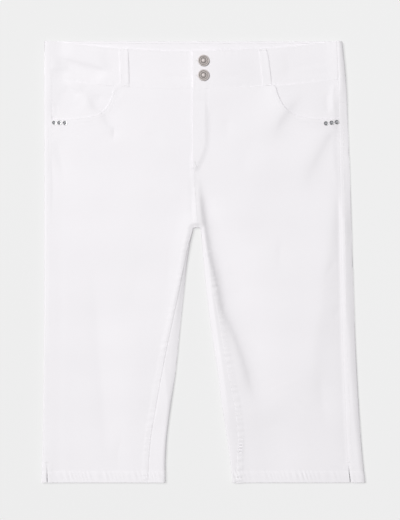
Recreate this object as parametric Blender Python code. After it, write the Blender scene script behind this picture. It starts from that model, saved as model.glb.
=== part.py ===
"""Women's five-pocket capri pants in white stretch twill, laid out flat on their back with the front up.

Frame: metres, +Z up off the surface that they lie on, +Y towards the waist and the wearer's right at -X. The origin
is the centre of the outline, on that surface. The tables and sizes below are in millimetres, and the meshes are made
in metres.
"""

from collections import namedtuple

import bpy
import numpy as np

MM = 0.001

# ---- driving sizes, mm ----------------------------------------------------------------------------------------------
LENGTH = 663.0  # top of the back waistband to the hem
HEM_Y, TOP_Y = -LENGTH / 2, LENGTH / 2
CROTCH_Y = 51.0
CROTCH_WIDTH = 10.0  # the level edge between the legs
CLOTH = 1.2  # wall of one layer of twill
BAND_CLOTH = 2.3  # wall of the waistband: two layers and its interlining
HEM_CLOTH, HEM_HEIGHT = 2.2, 16.0  # the hem is turned up inside, which doubles the wall
SEAM_GAP = 0.3
ROLL = 4.3  # radius of the soft fold down the side and inner edges
EDGE_MIN = 0.23  # the fold is not followed nearer to its edge than this, where it is upright
BAND_HEIGHT = 57.0
FRONT_DIP = 15.0  # how far the front waist dips below the back in the middle
WAIST_LIFT = 2.0  # the belt loops under the waistband hold it this far off the surface
SLIT_LENGTH, SLIT_GAP = 30.0, 2.4  # the notch at the foot of each side seam
YOKE_SIDE, YOKE_CENTRE = 35.0, 66.0  # depth of the back yoke at the side seam and at the centre back

# ---- the outline, mm: each side's folded edge and its side seam, which lies on top a little inside the edge ----------
Side = namedtuple("Side", "y outer seam")
RIGHT_SIDE = [
    Side(-331.5, -243.5, -235.5),
    Side(-304.5, -242.4, -235.0),
    Side(-229.5, -241.0, -233.7),
    Side(-105.0, -239.5, -231.4),
    Side(51.0, -239.0, -228.6),
    Side(184.5, -239.0, -227.6),
    Side(273.0, -239.0, -228.4),
    Side(331.5, -238.0, -229.0),
]
LEFT_SIDE = [
    Side(-331.5, 243.5, 221.8),
    Side(-303.0, 240.4, 217.6),
    Side(-229.5, 234.4, 214.1),
    Side(-148.5, 229.9, 210.4),
    Side(-4.5, 224.4, 207.4),
    Side(94.5, 221.6, 205.9),
    Side(184.5, 217.9, 204.4),
    Side(273.0, 214.1, 202.9),
    Side(331.5, 208.3, 200.0),
]

# Each leg's inner folded edge, and its inseam, from the hem to the crotch.
Inner = namedtuple("Inner", "y inner inseam")
RIGHT_INNER = [
    Inner(-331.5, -56.6, -83.0),
    Inner(-279.0, -56.3, -81.1),
    Inner(-229.5, -50.6, -73.1),
    Inner(-169.5, -41.9, -62.6),
    Inner(-105.0, -35.6, -49.6),
    Inner(-49.5, -29.9, -37.1),
    Inner(-12.0, -25.9, -29.5),
    Inner(18.0, -21.6, -24.2),
    Inner(40.0, -17.6, -18.4),
    Inner(49.0, -14.6, -14.6),
]
LEFT_INNER = [
    Inner(-331.5, 43.1, 48.9),
    Inner(-303.0, 40.6, 49.9),
    Inner(-267.0, 35.6, 52.1),
    Inner(-229.5, 29.6, 49.9),
    Inner(-192.0, 24.8, 40.9),
    Inner(-148.5, 18.4, 32.6),
    Inner(-76.5, 7.9, 20.6),
    Inner(-42.0, 3.8, 13.1),
    Inner(-4.5, 0.1, 5.2),
    Inner(25.5, -1.9, 1.0),
    Inner(40.0, -3.2, -2.4),
    Inner(49.0, -4.6, -4.6),
]

# The centre front and centre back seams, which lie over each other.
Centre = namedtuple("Centre", "y x")
CENTRE_SEAM = [
    Centre(51.0, -9.4),
    Centre(78.0, -10.1),
    Centre(108.0, -12.6),
    Centre(141.0, -14.0),
    Centre(262.0, -15.0),
    Centre(331.5, -15.0),
]

# Height of the middle of the top layer, over the surface, and how it lies along the garment.
Level = namedtuple("Level", "y height")
LEVELS = [
    Level(-331.5, 6.6),
    Level(-290.0, 6.0),
    Level(-100.0, 6.0),
    Level(60.0, 6.4),
    Level(180.0, 7.2),
    Level(262.0, 8.6),
    Level(331.5, 8.6),
]

# The largest folds in the top layer: a straight run from foot to head, its half-width, and its height or depth.
Fold = namedtuple("Fold", "foot_x foot_y head_x head_y width height")
FOLDS = [
    Fold(76.0, -196.0, 27.0, -62.0, 13.0, -2.2),  # from the crotch, down across the left thigh
    Fold(27.0, -62.0, 3.0, 62.0, 9.0, -2.4),
    Fold(50.0, -178.0, 14.0, -56.0, 11.0, 2.6),  # the roll beside it, along the inseam
    Fold(-165.0, -300.0, -172.0, -20.0, 30.0, -1.8),  # the hollow down the right leg
    Fold(-100.0, -240.0, -75.0, -40.0, 26.0, 2.0),
    Fold(178.0, -240.0, 186.0, 30.0, 17.0, -2.0),  # the hollow beside the left side seam
    Fold(95.0, -260.0, 130.0, -20.0, 30.0, 2.2),
    Fold(110.0, 78.0, 150.0, 176.0, 12.0, -1.6),  # under the left pocket
    Fold(-150.0, 120.0, -172.0, 178.0, 12.0, -1.4),  # under the right pocket
]
FOLD_MASK = 14.0  # folds fade out over this distance from a folded edge

# The pocket mouth as one cubic curve: how far each control point is from the side seam, and its height.
Mouth = namedtuple("Mouth", "inward y")
POCKET_MOUTH = [Mouth(95.3, None), Mouth(85.5, 216.0), Mouth(64.5, 214.5), Mouth(0.0, 214.5)]
MOUTH_COLUMNS = 8
FACING_TUCK = 16.0  # how far the pocket facing reaches under the front
FACING_DROP = CLOTH + 0.8

# ---- the overlap and the hardware, mm -------------------------------------------------------------------------------
OVERLAP_X = -15.8  # edge of the left waistband, which buttons over the right one
UNDERLAP = 36.0
OVERLAP_LIFT = BAND_CLOTH + SEAM_GAP + 0.1
FLY_WIDTH, FLY_FOOT_Y = 26.0, 141.0
FLY_CLOTH, FLY_CLEAR = 1.0, 0.5
BUTTON_RADIUS, BUTTON_X = 8.5, 0.3
BUTTON_YS = (301.8, 279.9)
STONE_RADIUS, STONE_HEIGHT = 3.2, 2.4
Spot = namedtuple("Spot", "x y")
STONES = {
    "right": [Spot(-224.0, 208.8), Spot(-216.2, 208.8), Spot(-207.9, 208.6)],
    "left": [Spot(199.8, 210.0), Spot(192.0, 208.9), Spot(183.6, 207.9)],
}
LOOP_WIDTH, LOOP_CLOTH, LOOP_STANDOFF = 14.0, 1.3, 1.6
FrontLoop = namedtuple("FrontLoop", "name head_x foot_x")
FRONT_LOOPS = [FrontLoop("belt_loop_front_right", -119.6, -118.1), FrontLoop("belt_loop_front_left", 88.9, 96.4)]
BackLoop = namedtuple("BackLoop", "name x")
BACK_LOOPS = [
    BackLoop("belt_loop_back_centre", -15.0),
    BackLoop("belt_loop_back_right", -122.0),
    BackLoop("belt_loop_back_left", 98.0),
]

# ---- how finely the cloth is divided --------------------------------------------------------------------------------
LEG_ROWS = [-331.5, -315.5, -301.5, -262.0, -216.0, -170.0, -124.0, -80.0, -38.0, -4.0, 22.0, 40.0, 49.0]
SEAT_ROWS = [51.0, 55.0, 62.0, 82.0, 112.0, 141.0, 165.0]
EDGE_STEPS, UNDER_STEPS, WRAP_STEPS = 7, 8, 6


# ---- shared curves --------------------------------------------------------------------------------------------------
def ease(t):
    """0 to 1 with flat ends."""
    t = np.clip(t, 0.0, 1.0)
    return t * t * (3 - 2 * t)


def along(table, column, y):
    """A smooth curve through one column of a table that is sorted by y."""
    ys = np.array([row.y for row in table])
    values = np.array([getattr(row, column) for row in table])
    slopes = np.gradient(values, ys)
    y = np.clip(y, ys[0], ys[-1])
    i = np.clip(np.searchsorted(ys, y) - 1, 0, len(ys) - 2)
    span = ys[i + 1] - ys[i]
    t = (y - ys[i]) / span
    return (
        values[i] * (2 * t**3 - 3 * t**2 + 1)
        + slopes[i] * span * (t**3 - 2 * t**2 + t)
        + values[i + 1] * (3 * t**2 - 2 * t**3)
        + slopes[i + 1] * span * (t**3 - t**2)
    )


class Half:
    """One side of the garment. out is the direction from the middle to its side edge."""

    def __init__(self, name, out, side, inner):
        self.name, self.out, self.side, self.inner_rows = name, out, side, inner

    def outer(self, y):
        return along(self.side, "outer", y)

    def seam(self, y):
        return along(self.side, "seam", y)

    def inner(self, y):
        return along(self.inner_rows, "inner", y)

    def inseam(self, y):
        return along(self.inner_rows, "inseam", y)


RIGHT = Half("right", -1.0, RIGHT_SIDE, RIGHT_INNER)
LEFT = Half("left", 1.0, LEFT_SIDE, LEFT_INNER)
HALVES = (RIGHT, LEFT)


def centre_x(y):
    return along(CENTRE_SEAM, "x", y)


def floor_z(y):
    """Height of the underside: on the surface, and lifted a little under the waistband."""
    return WAIST_LIFT * ease((y - 205.0) / 55.0)


def crotch_distance(x, y):
    """How far a point is from the short level edge between the legs."""
    return np.hypot(np.maximum(np.abs(x - centre_x(CROTCH_Y)) - CROTCH_WIDTH / 2, 0.0), y - CROTCH_Y)


def inner_distance(half, x, y):
    """How far a point is from the half's inner folded edge or, above it, from the crotch."""
    return np.where(y < CROTCH_Y, half.out * (x - half.inner(y)), crotch_distance(x, y))


def fold_height(x, y):
    total = 0.0
    for fold in FOLDS:
        run = np.array([fold.head_x - fold.foot_x, fold.head_y - fold.foot_y])
        length = np.hypot(*run)
        t = ((x - fold.foot_x) * run[0] + (y - fold.foot_y) * run[1]) / length**2
        away = ((x - fold.foot_x) * run[1] - (y - fold.foot_y) * run[0]) / length
        total = total + fold.height * ease(t / 0.3) * ease((1 - t) / 0.3) * np.exp(-((away / fold.width) ** 2))
    return total


def top_z(half, x, y):
    """Height of the outside of the top layer, rolled over at the folded edges."""
    x, y = np.asarray(x, float), np.asarray(y, float)
    edge = np.maximum(np.minimum(half.out * (half.outer(y) - x), inner_distance(half, x, y)), EDGE_MIN)
    roll = ROLL + np.sqrt(np.maximum(ROLL**2 - np.maximum(ROLL - edge, 0.0) ** 2, 0.0))
    level = along(LEVELS, "height", y) - floor_z(y)
    settle = ease((edge - ROLL) / 26.0)
    return floor_z(y) + roll + (level - 2 * ROLL) * settle + fold_height(x, y) * ease((edge - ROLL) / FOLD_MASK)


def under_z(x, y):
    """Height of the underside of the seat, which rises to meet the front at the crotch."""
    edge = np.minimum(np.maximum(crotch_distance(x, y), EDGE_MIN), ROLL)
    return floor_z(y) + np.maximum(ROLL - np.sqrt(ROLL**2 - (ROLL - edge) ** 2) - SEAM_GAP, 0.0)


def normal_of(height, x, y):
    """Unit normal, pointing up, of a height that is a function of x and y."""
    step = 1.0
    x, y = np.asarray(x, float), np.asarray(y, float)
    slope_x = (height(x + step, y) - height(x - step, y)) / (2 * step)
    slope_y = (height(x, y + step) - height(x, y - step)) / (2 * step)
    up = np.stack([-slope_x, -slope_y, np.ones_like(slope_x)], axis=-1)
    return up / np.linalg.norm(up, axis=-1, keepdims=True)


def top_normal(half, x, y):
    return normal_of(lambda px, py: top_z(half, px, py), x, y)


def under_normal(x, y):
    return normal_of(under_z, x, y)


def waist_share(half, x):
    """0 at the middle of the front waist and 1 at the side seam."""
    return (x - OVERLAP_X) / (half.seam(300.0) - OVERLAP_X)


def waist_seam_y(half, x):
    return TOP_Y - FRONT_DIP - BAND_HEIGHT + FRONT_DIP * waist_share(half, x) ** 2


def band_top_y(half, x):
    return TOP_Y - FRONT_DIP + FRONT_DIP * waist_share(half, x) ** 2


# ---- meshes ---------------------------------------------------------------------------------------------------------
def material(name, colour, roughness, metallic=0.0):
    made = bpy.data.materials.new(name)
    made.use_nodes = True
    shader = made.node_tree.nodes["Principled BSDF"]
    shader.inputs["Base Color"].default_value = (*colour, 1.0)
    shader.inputs["Roughness"].default_value = roughness
    shader.inputs["Metallic"].default_value = metallic
    return made


def add_object(name, points, faces, surface):
    """A mesh object from points in mm, with its faces turned outwards."""
    points = np.asarray(points, float) * MM
    volume = 0.0
    for face in faces:
        corners = points[list(face)]
        for k in range(1, len(face) - 1):
            volume += np.dot(corners[0], np.cross(corners[k], corners[k + 1]))
    if volume < 0:
        faces = [tuple(reversed(face)) for face in faces]
    mesh = bpy.data.meshes.new(name)
    mesh.from_pydata(points.tolist(), [], [tuple(int(i) for i in face) for face in faces])
    mesh.materials.append(surface)
    mesh.shade_smooth()
    mesh.set_sharp_from_angle(angle=0.7)
    obj = bpy.data.objects.new(name, mesh)
    bpy.context.scene.collection.objects.link(obj)
    return obj


def normals_of(grid):
    """Unit normals of a grid of points, pointing the way that its rows cross its columns."""
    rows = np.gradient(grid, axis=0)
    columns = np.gradient(grid, axis=1)
    cross = np.cross(rows, columns)
    return cross / np.linalg.norm(cross, axis=2, keepdims=True)


def wall(name, outside, thickness, surface, inward):
    """A closed wall: the outside grid (rows, columns, xyz), and the same grid moved in by its thickness.

    inward is a grid of unit vectors that point into the cloth, or +1 or -1 along the grid's own normals.
    """
    if np.ndim(inward) == 0:
        inward = inward * normals_of(outside)
    inside = outside + np.broadcast_to(thickness, outside.shape[:2])[..., None] * inward
    rows, columns = outside.shape[:2]
    points = np.concatenate([outside.reshape(-1, 3), inside.reshape(-1, 3)])
    index = np.arange(rows * columns).reshape(rows, columns)
    back = index + rows * columns
    faces = []
    for i in range(rows - 1):
        for j in range(columns - 1):
            faces.append((index[i, j], index[i + 1, j], index[i + 1, j + 1], index[i, j + 1]))
            faces.append((back[i, j], back[i, j + 1], back[i + 1, j + 1], back[i + 1, j]))
    rim = [*index[0, :], *index[1:, -1], *index[-1, -2::-1], *index[-2:0:-1, 0]]
    for a, b in zip(rim, [*rim[1:], rim[0]]):
        faces.append((a, b, b + rows * columns, a + rows * columns))
    return add_object(name, points, faces, surface)


def turned(name, profile, place, surface, sides=24):
    """A round solid about a vertical axis. The profile runs from the axis at the foot to the axis at the top."""
    angles = np.arange(sides) * 2 * np.pi / sides
    points = [(place[0], place[1], place[2] + profile[0][1])]
    for radius, height in profile[1:-1]:
        points += [(place[0] + radius * np.cos(a), place[1] + radius * np.sin(a), place[2] + height) for a in angles]
    points.append((place[0], place[1], place[2] + profile[-1][1]))
    last = len(points) - 1
    faces = [(0, 1 + (k + 1) % sides, 1 + k) for k in range(sides)]
    for ring in range(len(profile) - 3):
        low, high = 1 + ring * sides, 1 + (ring + 1) * sides
        faces += [(low + k, low + (k + 1) % sides, high + (k + 1) % sides, high + k) for k in range(sides)]
    top = 1 + (len(profile) - 3) * sides
    faces += [(top + k, top + (k + 1) % sides, last) for k in range(sides)]
    return add_object(name, points, faces, surface)


# ---- the back: it wraps both folded edges, up to the seams that show on top ------------------------------------------
def seam_gap(y):
    """Half the gap at the side seam, which opens into the slit above the hem."""
    return SEAM_GAP / 2 + SLIT_GAP / 2 * ease((HEM_Y + SLIT_LENGTH - y) / SLIT_LENGTH)


def side_run(half, y):
    """Outside points from the side seam, over the top and round the folded edge, to the underside."""
    x_fold = half.outer(y) - half.out * ROLL
    x_seam = half.seam(y) + half.out * seam_gap(y)
    flap = [(x, top_z(half, x, y)) for x in np.linspace(x_seam, x_fold, 3)[:-1]]
    angles = np.linspace(np.pi / 2, -np.pi / 2, EDGE_STEPS)
    edge = [(x_fold + half.out * ROLL * np.cos(a), floor_z(y) + ROLL * (1 + np.sin(a))) for a in angles]
    return flap + edge


def wrap_run(half, y):
    """Outside points from the underside, round the inner folded edge, to the inseam, or to the centre back seam."""
    if y < CROTCH_Y:
        reach = half.out * (half.inseam(y) - half.inner(y)) - SEAM_GAP / 2
        centre = half.inner(y) + half.out * ROLL
        if reach < 1.5 * ROLL:
            last = np.arccos(1 - max(min(reach, ROLL), 0.0) / ROLL)
            angles = np.linspace(-np.pi / 2, last - SEAM_GAP / ROLL, WRAP_STEPS + 1)
        else:
            angles = np.linspace(-np.pi / 2, np.pi / 2, WRAP_STEPS)
        run = [(centre - half.out * ROLL * np.cos(a), floor_z(y) + ROLL * (1 + np.sin(a))) for a in angles]
        if reach > ROLL:
            x_seam = half.inner(y) + half.out * reach
            run = run[:WRAP_STEPS] + [(x_seam, float(top_z(half, x_seam, y)))]
        return run
    spread = ROLL + (40.0 - ROLL) * ease((y - CROTCH_Y) / 60.0)
    end = centre_x(y) + half.out * SEAM_GAP / 2
    xs = end + half.out * spread * (1 - np.cos(np.linspace(-np.pi / 2, 0.0, WRAP_STEPS + 1)))
    return [(x, float(under_z(x, y))) for x in xs]


def back_section(half, y):
    """The whole outside of the back at one height, from the side seam to the inseam or the centre back."""
    side, wrap = side_run(half, y), wrap_run(half, y)
    xs = np.linspace(side[-1][0], wrap[0][0], UNDER_STEPS + 1)[1:-1]
    under = [(x, floor_z(y)) for x in xs]
    return np.array([(x, y, z) for x, z in side + under + wrap], float)


def back_grid(half, heights):
    """A grid over the back, where heights gives each row a y for every column."""
    rows = []
    for ys in heights:
        sections = [back_section(half, y) for y in ys]
        rows.append([sections[j][j] for j in range(len(ys))])
    return np.array(rows)


BACK_COLUMNS = 2 + EDGE_STEPS + (UNDER_STEPS - 1) + (WRAP_STEPS + 1)


def yoke_seam_ys(half):
    """The yoke seam's y at each column: shallow at the side seam, deepest at the centre back."""
    section = back_section(half, 200.0)
    run = np.abs(section[:, 0] - half.outer(200.0))
    run[: 2 + EDGE_STEPS] = 0.0
    share = run / run.max()
    return TOP_Y - BAND_HEIGHT - YOKE_SIDE - (YOKE_CENTRE - YOKE_SIDE) * share


def cloth_at(ys):
    """Wall thickness: doubled at the turned-up hem."""
    return np.where(np.asarray(ys) < HEM_Y + HEM_HEIGHT + 0.5, HEM_CLOTH, CLOTH)


def back_inward(half, grid):
    """Into the cloth: along the grid's own normals, but along the shared surfaces at the inseam and the crotch."""
    inward = half.out * normals_of(grid)
    for i, row in enumerate(grid):
        if row[-1, 1] < CROTCH_Y:
            y = row[0, 1]
            centre = np.array([half.inner(y) + half.out * ROLL, y, ROLL])
            inward[i, -1 - WRAP_STEPS :] = (centre - row[-1 - WRAP_STEPS :]) / ROLL
            if abs(half.inseam(y) - half.inner(y)) > 0.8 * ROLL:
                inward[i, -1] = -top_normal(half, *row[-1, :2])
        elif row[-1, 1] < CROTCH_Y + 2 * ROLL:
            inward[i, -1 - WRAP_STEPS :] = under_normal(*row[-1 - WRAP_STEPS :, :2].T)
    return inward


def build_back(half, twill):
    seam_ys = yoke_seam_ys(half)
    fixed = [np.full(BACK_COLUMNS, y) for y in LEG_ROWS + SEAT_ROWS]
    rows = fixed + [(fixed[-1] + seam_ys) / 2, seam_ys - SEAM_GAP / 2]
    grid = back_grid(half, rows)
    thickness = cloth_at([ys[0] for ys in rows])[:, None]
    wall(f"back_panel_{half.name}", grid, thickness, twill, back_inward(half, grid))
    band_ys = np.full(BACK_COLUMNS, TOP_Y - BAND_HEIGHT - SEAM_GAP / 2)
    low = seam_ys + SEAM_GAP / 2
    rows = [low + (band_ys - low) * share for share in (0.0, 0.33, 0.67, 1.0)]
    wall(f"back_yoke_{half.name}", back_grid(half, rows), CLOTH, twill, half.out)


# ---- the front ------------------------------------------------------------------------------------------------------
def mouth_points(half):
    """The pocket mouth from the side seam to the waist seam."""
    t = np.linspace(1.0, 0.0, MOUTH_COLUMNS + 1)
    start_x = half.seam(240.0) - half.out * POCKET_MOUTH[0].inward
    ys = [waist_seam_y(half, start_x) - SEAM_GAP] + [point.y for point in POCKET_MOUTH[1:]]
    weights = [(1 - t) ** 3, 3 * t * (1 - t) ** 2, 3 * t**2 * (1 - t), t**3]
    inward = sum(w * point.inward for w, point in zip(weights, POCKET_MOUTH))
    height = sum(w * y for w, y in zip(weights, ys))
    return half.seam(height) - half.out * np.maximum(inward, SEAM_GAP / 2), height


def front_top(half):
    """The front panel's upper edge: the pocket mouth, then the waist seam to the centre front."""
    mouth_x, mouth_y = mouth_points(half)
    end = centre_x(262.0) + half.out * SEAM_GAP / 2
    waist_x = np.append(np.linspace(mouth_x[-1], end, 6)[1:-1], [end + half.out * 5.0, end])
    waist_y = waist_seam_y(half, waist_x) - SEAM_GAP / 2
    return np.concatenate([mouth_x, waist_x]), np.concatenate([mouth_y, waist_y])


def front_ends(half, y):
    """The front panel's two edges at one height: at the side seam, and at the inseam or the centre front."""
    start = half.seam(y) - half.out * seam_gap(y)
    if y < CROTCH_Y:
        return start, half.inseam(y) + half.out * SEAM_GAP / 2
    return start, centre_x(y) + half.out * SEAM_GAP / 2


def build_front(half, twill):
    top_x, top_y = front_top(half)
    start, end = front_ends(half, 165.0)
    shares = np.clip((top_x - start) / (end - start), 0.0, 1.0)
    shares[0], shares[-1] = 0.0, 1.0
    xs, ys = [], []
    for y in LEG_ROWS + SEAT_ROWS:
        start, end = front_ends(half, y)
        xs.append(start + (end - start) * shares)
        ys.append(np.full(len(shares), y))
    base_x, base_y = xs[-1], ys[-1]
    for share in (0.3, 0.6, 0.85, 1.0):
        y = base_y + (top_y - base_y) * share
        x = base_x + (top_x - base_x) * share
        x[0], x[-1] = half.seam(y[0]) - half.out * SEAM_GAP / 2, centre_x(y[-1]) + half.out * SEAM_GAP / 2
        xs.append(x)
        ys.append(y)
    xs, ys = np.array(xs), np.array(ys)
    grid = np.stack([xs, ys, top_z(half, xs, ys)], axis=2)
    wall(f"front_panel_{half.name}", grid, cloth_at(ys[:, 0])[:, None], twill, -top_normal(half, xs, ys))


def build_pocket_facing(half, twill):
    """The hip piece that shows inside the pocket mouth. It runs on under the front panel's edge."""
    mouth_x, mouth_y = mouth_points(half)
    lower_x = mouth_x - half.out * FACING_TUCK * ease(np.linspace(-0.3, 1.0, len(mouth_x)))
    lower_y = mouth_y - FACING_TUCK * ease(np.linspace(1.5, -0.6, len(mouth_y)))
    lower_y[-1] -= SEAM_GAP
    lower_x[0] = half.seam(lower_y[0]) - half.out * 1.0
    upper_y = waist_seam_y(half, lower_x) - SEAM_GAP / 2
    lower_y = np.minimum(lower_y, upper_y - 6.0)
    shares = np.linspace(0.0, 1.0, 6)[:, None]
    ys = lower_y + (upper_y - lower_y) * shares
    xs = np.broadcast_to(lower_x, ys.shape).copy()
    xs[:, 0] = half.seam(ys[:, 0]) - half.out * 0.6
    grid = np.stack([xs, ys, top_z(half, xs, ys) - FACING_DROP], axis=2)
    wall(f"pocket_facing_{half.name}", grid, CLOTH, twill, -half.out)


def build_fly(twill):
    """The J-shaped fly facing, stitched to the left front at the centre opening."""
    head_y = waist_seam_y(LEFT, OVERLAP_X) - SEAM_GAP / 2 - 0.4
    ys = np.linspace(head_y, FLY_FOOT_Y, 9)
    drop = np.clip((FLY_FOOT_Y + 42.0 - ys) / 42.0, 0.0, 1.0)
    widths = 3.0 + (FLY_WIDTH - 3.0) * np.sqrt(1 - drop**2 + 1e-9)
    shares = np.linspace(0.0, 1.0, 5)
    xs = centre_x(ys)[:, None] + widths[:, None] * shares[None, :]
    grid_y = np.broadcast_to(ys[:, None], xs.shape)
    zs = top_z(LEFT, xs, grid_y) + FLY_CLEAR + FLY_CLOTH
    wall("fly_facing", np.stack([xs, grid_y, zs], axis=2), FLY_CLOTH, twill, -1.0)


# ---- the waistband --------------------------------------------------------------------------------------------------
def overlap_lift(x):
    """The left waistband climbs over the right one at the centre front."""
    return OVERLAP_LIFT * ease((OVERLAP_X + UNDERLAP + 26.0 - x) / 22.0)


def build_front_band(half, twill):
    end = OVERLAP_X if half is LEFT else OVERLAP_X + UNDERLAP
    seam_x = half.seam(300.0)
    xs = np.linspace(seam_x - half.out * SEAM_GAP / 2, end, 15)
    shares = np.linspace(0.0, 1.0, 5)[:, None]
    low = waist_seam_y(half, xs) + SEAM_GAP / 2
    ys = low + (band_top_y(half, xs) - low) * shares
    grid_x = np.broadcast_to(xs, ys.shape).copy()
    grid_x[:, 0] = half.seam(ys[:, 0]) - half.out * SEAM_GAP / 2
    zs = top_z(half, grid_x, ys)
    if half is LEFT:
        zs = zs + overlap_lift(grid_x)
    grid = np.stack([grid_x, ys, zs], axis=2)
    wall(f"waistband_front_{half.name}", grid, BAND_CLOTH, twill, -half.out)


def build_back_band(twill):
    """One strip that runs across the back and wraps both side edges."""
    rows = []
    for share in np.linspace(0.0, 1.0, 5):
        y = TOP_Y - BAND_HEIGHT + SEAM_GAP / 2 + (BAND_HEIGHT - SEAM_GAP / 2) * share
        right, left = side_run(RIGHT, y), side_run(LEFT, y)
        xs = np.linspace(right[-1][0], left[-1][0], 2 * UNDER_STEPS)[1:-1]
        run = right + [(x, floor_z(y)) for x in xs] + left[::-1]
        rows.append([(x, y, float(z)) for x, z in run])
    wall("waistband_back", np.array(rows), BAND_CLOTH, twill, -1.0)


# ---- belt loops -----------------------------------------------------------------------------------------------------
LOOP_SHARES = np.array([0.0, 0.07, 0.16, 0.3, 0.5, 0.7, 0.84, 0.93, 1.0])


def build_front_loop(loop, twill):
    half = RIGHT if loop.head_x < 0 else LEFT
    foot_y = waist_seam_y(half, loop.foot_x) + 1.0
    head_y = band_top_y(half, loop.head_x) - 0.5
    rows = []
    for share in LOOP_SHARES:
        x = loop.foot_x + (loop.head_x - loop.foot_x) * share
        y = foot_y + (head_y - foot_y) * share
        stand = 0.5 + LOOP_STANDOFF * ease(share / 0.3) * ease((1 - share) / 0.3)
        row = []
        for across in (-0.5, 0.0, 0.5):
            place = x + across * LOOP_WIDTH
            row.append((place, y, float(top_z(half, place, y)) + stand + LOOP_CLOTH))
        rows.append(row)
    wall(loop.name, np.array(rows), LOOP_CLOTH, twill, 1.0)


def build_back_loop(loop, twill):
    """A loop on the outside of the back waistband, so it lies under it, on the surface."""
    foot_y, head_y = TOP_Y - BAND_HEIGHT + 1.0, TOP_Y - 0.5
    rows = []
    for share in LOOP_SHARES:
        y = foot_y + (head_y - foot_y) * share
        lift = 0.4 * (1 - ease(share / 0.16) * ease((1 - share) / 0.16))
        rows.append([(loop.x + across * LOOP_WIDTH, y, lift) for across in (-0.5, 0.0, 0.5)])
    wall(loop.name, np.array(rows), LOOP_CLOTH, twill, -1.0)


# ---- metal and stones -----------------------------------------------------------------------------------------------
def build_button(name, y, metal):
    """A shank button: a foot, a dished face with a raised rim, and a knob in the middle."""
    face = float(top_z(LEFT, BUTTON_X, y)) + OVERLAP_LIFT + SEAM_GAP + 0.1
    r = BUTTON_RADIUS
    profile = [
        (0.0, 0.0),
        (0.5 * r, 0.0),
        (0.5 * r, 1.0),
        (0.94 * r, 1.3),
        (r, 1.9),
        (0.96 * r, 2.7),
        (0.84 * r, 3.1),
        (0.7 * r, 2.7),
        (0.46 * r, 2.6),
        (0.34 * r, 3.2),
        (0.0, 3.4),
    ]
    turned(name, profile, (BUTTON_X, y, face), metal)


def build_stone(name, half, spot, crystal):
    """A faceted stone in its low metal cup."""
    face = float(top_z(half, spot.x, spot.y)) + SEAM_GAP + 0.15
    r = STONE_RADIUS
    profile = [(0.0, 0.0), (r, 0.0), (r, 1.1), (0.84 * r, 1.4), (0.5 * r, STONE_HEIGHT), (0.0, STONE_HEIGHT)]
    turned(name, profile, (spot.x, spot.y, face), crystal, sides=16)


def main():
    for obj in list(bpy.data.objects):
        bpy.data.objects.remove(obj)
    twill = material("twill", (0.88, 0.87, 0.89), 0.85)
    metal = material("button_metal", (0.55, 0.53, 0.52), 0.35, 1.0)
    crystal = material("crystal", (0.8, 0.8, 0.82), 0.1, 0.3)
    for half in HALVES:
        build_back(half, twill)
        build_front(half, twill)
        build_pocket_facing(half, twill)
        build_front_band(half, twill)
    build_back_band(twill)
    build_fly(twill)
    for loop in FRONT_LOOPS:
        build_front_loop(loop, twill)
    for loop in BACK_LOOPS:
        build_back_loop(loop, twill)
    for name, y in zip(("button_top", "button_bottom"), BUTTON_YS):
        build_button(name, y, metal)
    for half in HALVES:
        for number, spot in enumerate(STONES[half.name], start=1):
            build_stone(f"stone_{half.name}_{number}", half, spot, crystal)


main()
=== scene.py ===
"""The finished look of a pair of women's white capri pants, laid flat on their back with the front up.

The CAD solids give every outline and place. Each cloth piece here is a fine shell on the form of its solid,
with its folds placed one by one, and its seams, hems, stitching and puckers modelled. Sizes are in millimetres
unless a comment says otherwise, and the meshes are made in metres. Right and left are the wearer's, so the
right leg is at -X.
"""

from collections import namedtuple
from functools import partial

import bpy
import numpy as np
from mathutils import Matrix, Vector


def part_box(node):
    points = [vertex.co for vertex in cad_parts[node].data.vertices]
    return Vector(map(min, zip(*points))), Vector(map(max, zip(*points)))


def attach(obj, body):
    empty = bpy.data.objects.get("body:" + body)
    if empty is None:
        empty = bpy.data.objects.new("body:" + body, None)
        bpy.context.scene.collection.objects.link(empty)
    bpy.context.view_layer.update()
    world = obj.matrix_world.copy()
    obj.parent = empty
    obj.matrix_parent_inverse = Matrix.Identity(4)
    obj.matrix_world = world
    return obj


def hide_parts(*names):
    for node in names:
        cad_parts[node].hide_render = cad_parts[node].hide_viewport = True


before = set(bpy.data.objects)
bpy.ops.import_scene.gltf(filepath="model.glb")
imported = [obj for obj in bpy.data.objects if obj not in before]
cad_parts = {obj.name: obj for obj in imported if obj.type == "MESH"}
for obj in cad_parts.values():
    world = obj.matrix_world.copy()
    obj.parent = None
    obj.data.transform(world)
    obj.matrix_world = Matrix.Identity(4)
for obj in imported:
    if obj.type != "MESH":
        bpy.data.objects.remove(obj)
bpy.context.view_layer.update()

MM = 0.001
BODY = "root"

# ---- cloth, mm ----
PLY = 1.0  # one layer of twill
BAND = 2.2  # the waistband: two layers and its interlining
ROLL = 3.8  # half the height of the soft fold down the side and inner edges
LEAST = 2.2  # the top layer never sinks closer to the floor than this
STEP = 2.2  # how finely the cloth is divided where nothing small shows
HEM_HEIGHT, HEM_THICK, HEM_STITCH = 16.0, 0.75, 13.8
SLIT_LENGTH, SLIT_OPEN = 31.0, 0.6
CROTCH_RISE = 4.0  # how far the rounded top of the gap between the legs runs down each leg
SQUARE = 3.5  # how square its corners are: 2 is an ellipse
FLY_WIDTH, FLY_TOE, FLY_LIFT, FLY_OVERLAP = 21.8, 7.0, 1.5, 1.6
BAND_PROUD = 0.15  # the waistband stands this far over the panels
BACK_RISE = 1.3  # the head of the back waistband stands up towards the front one
OVERLAP_LIFT = 2.4
MOUTH_LIFT = {"right": 0.625, "left": 1.75}  # the pocket mouth stands over the facing and the bag under it
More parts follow.
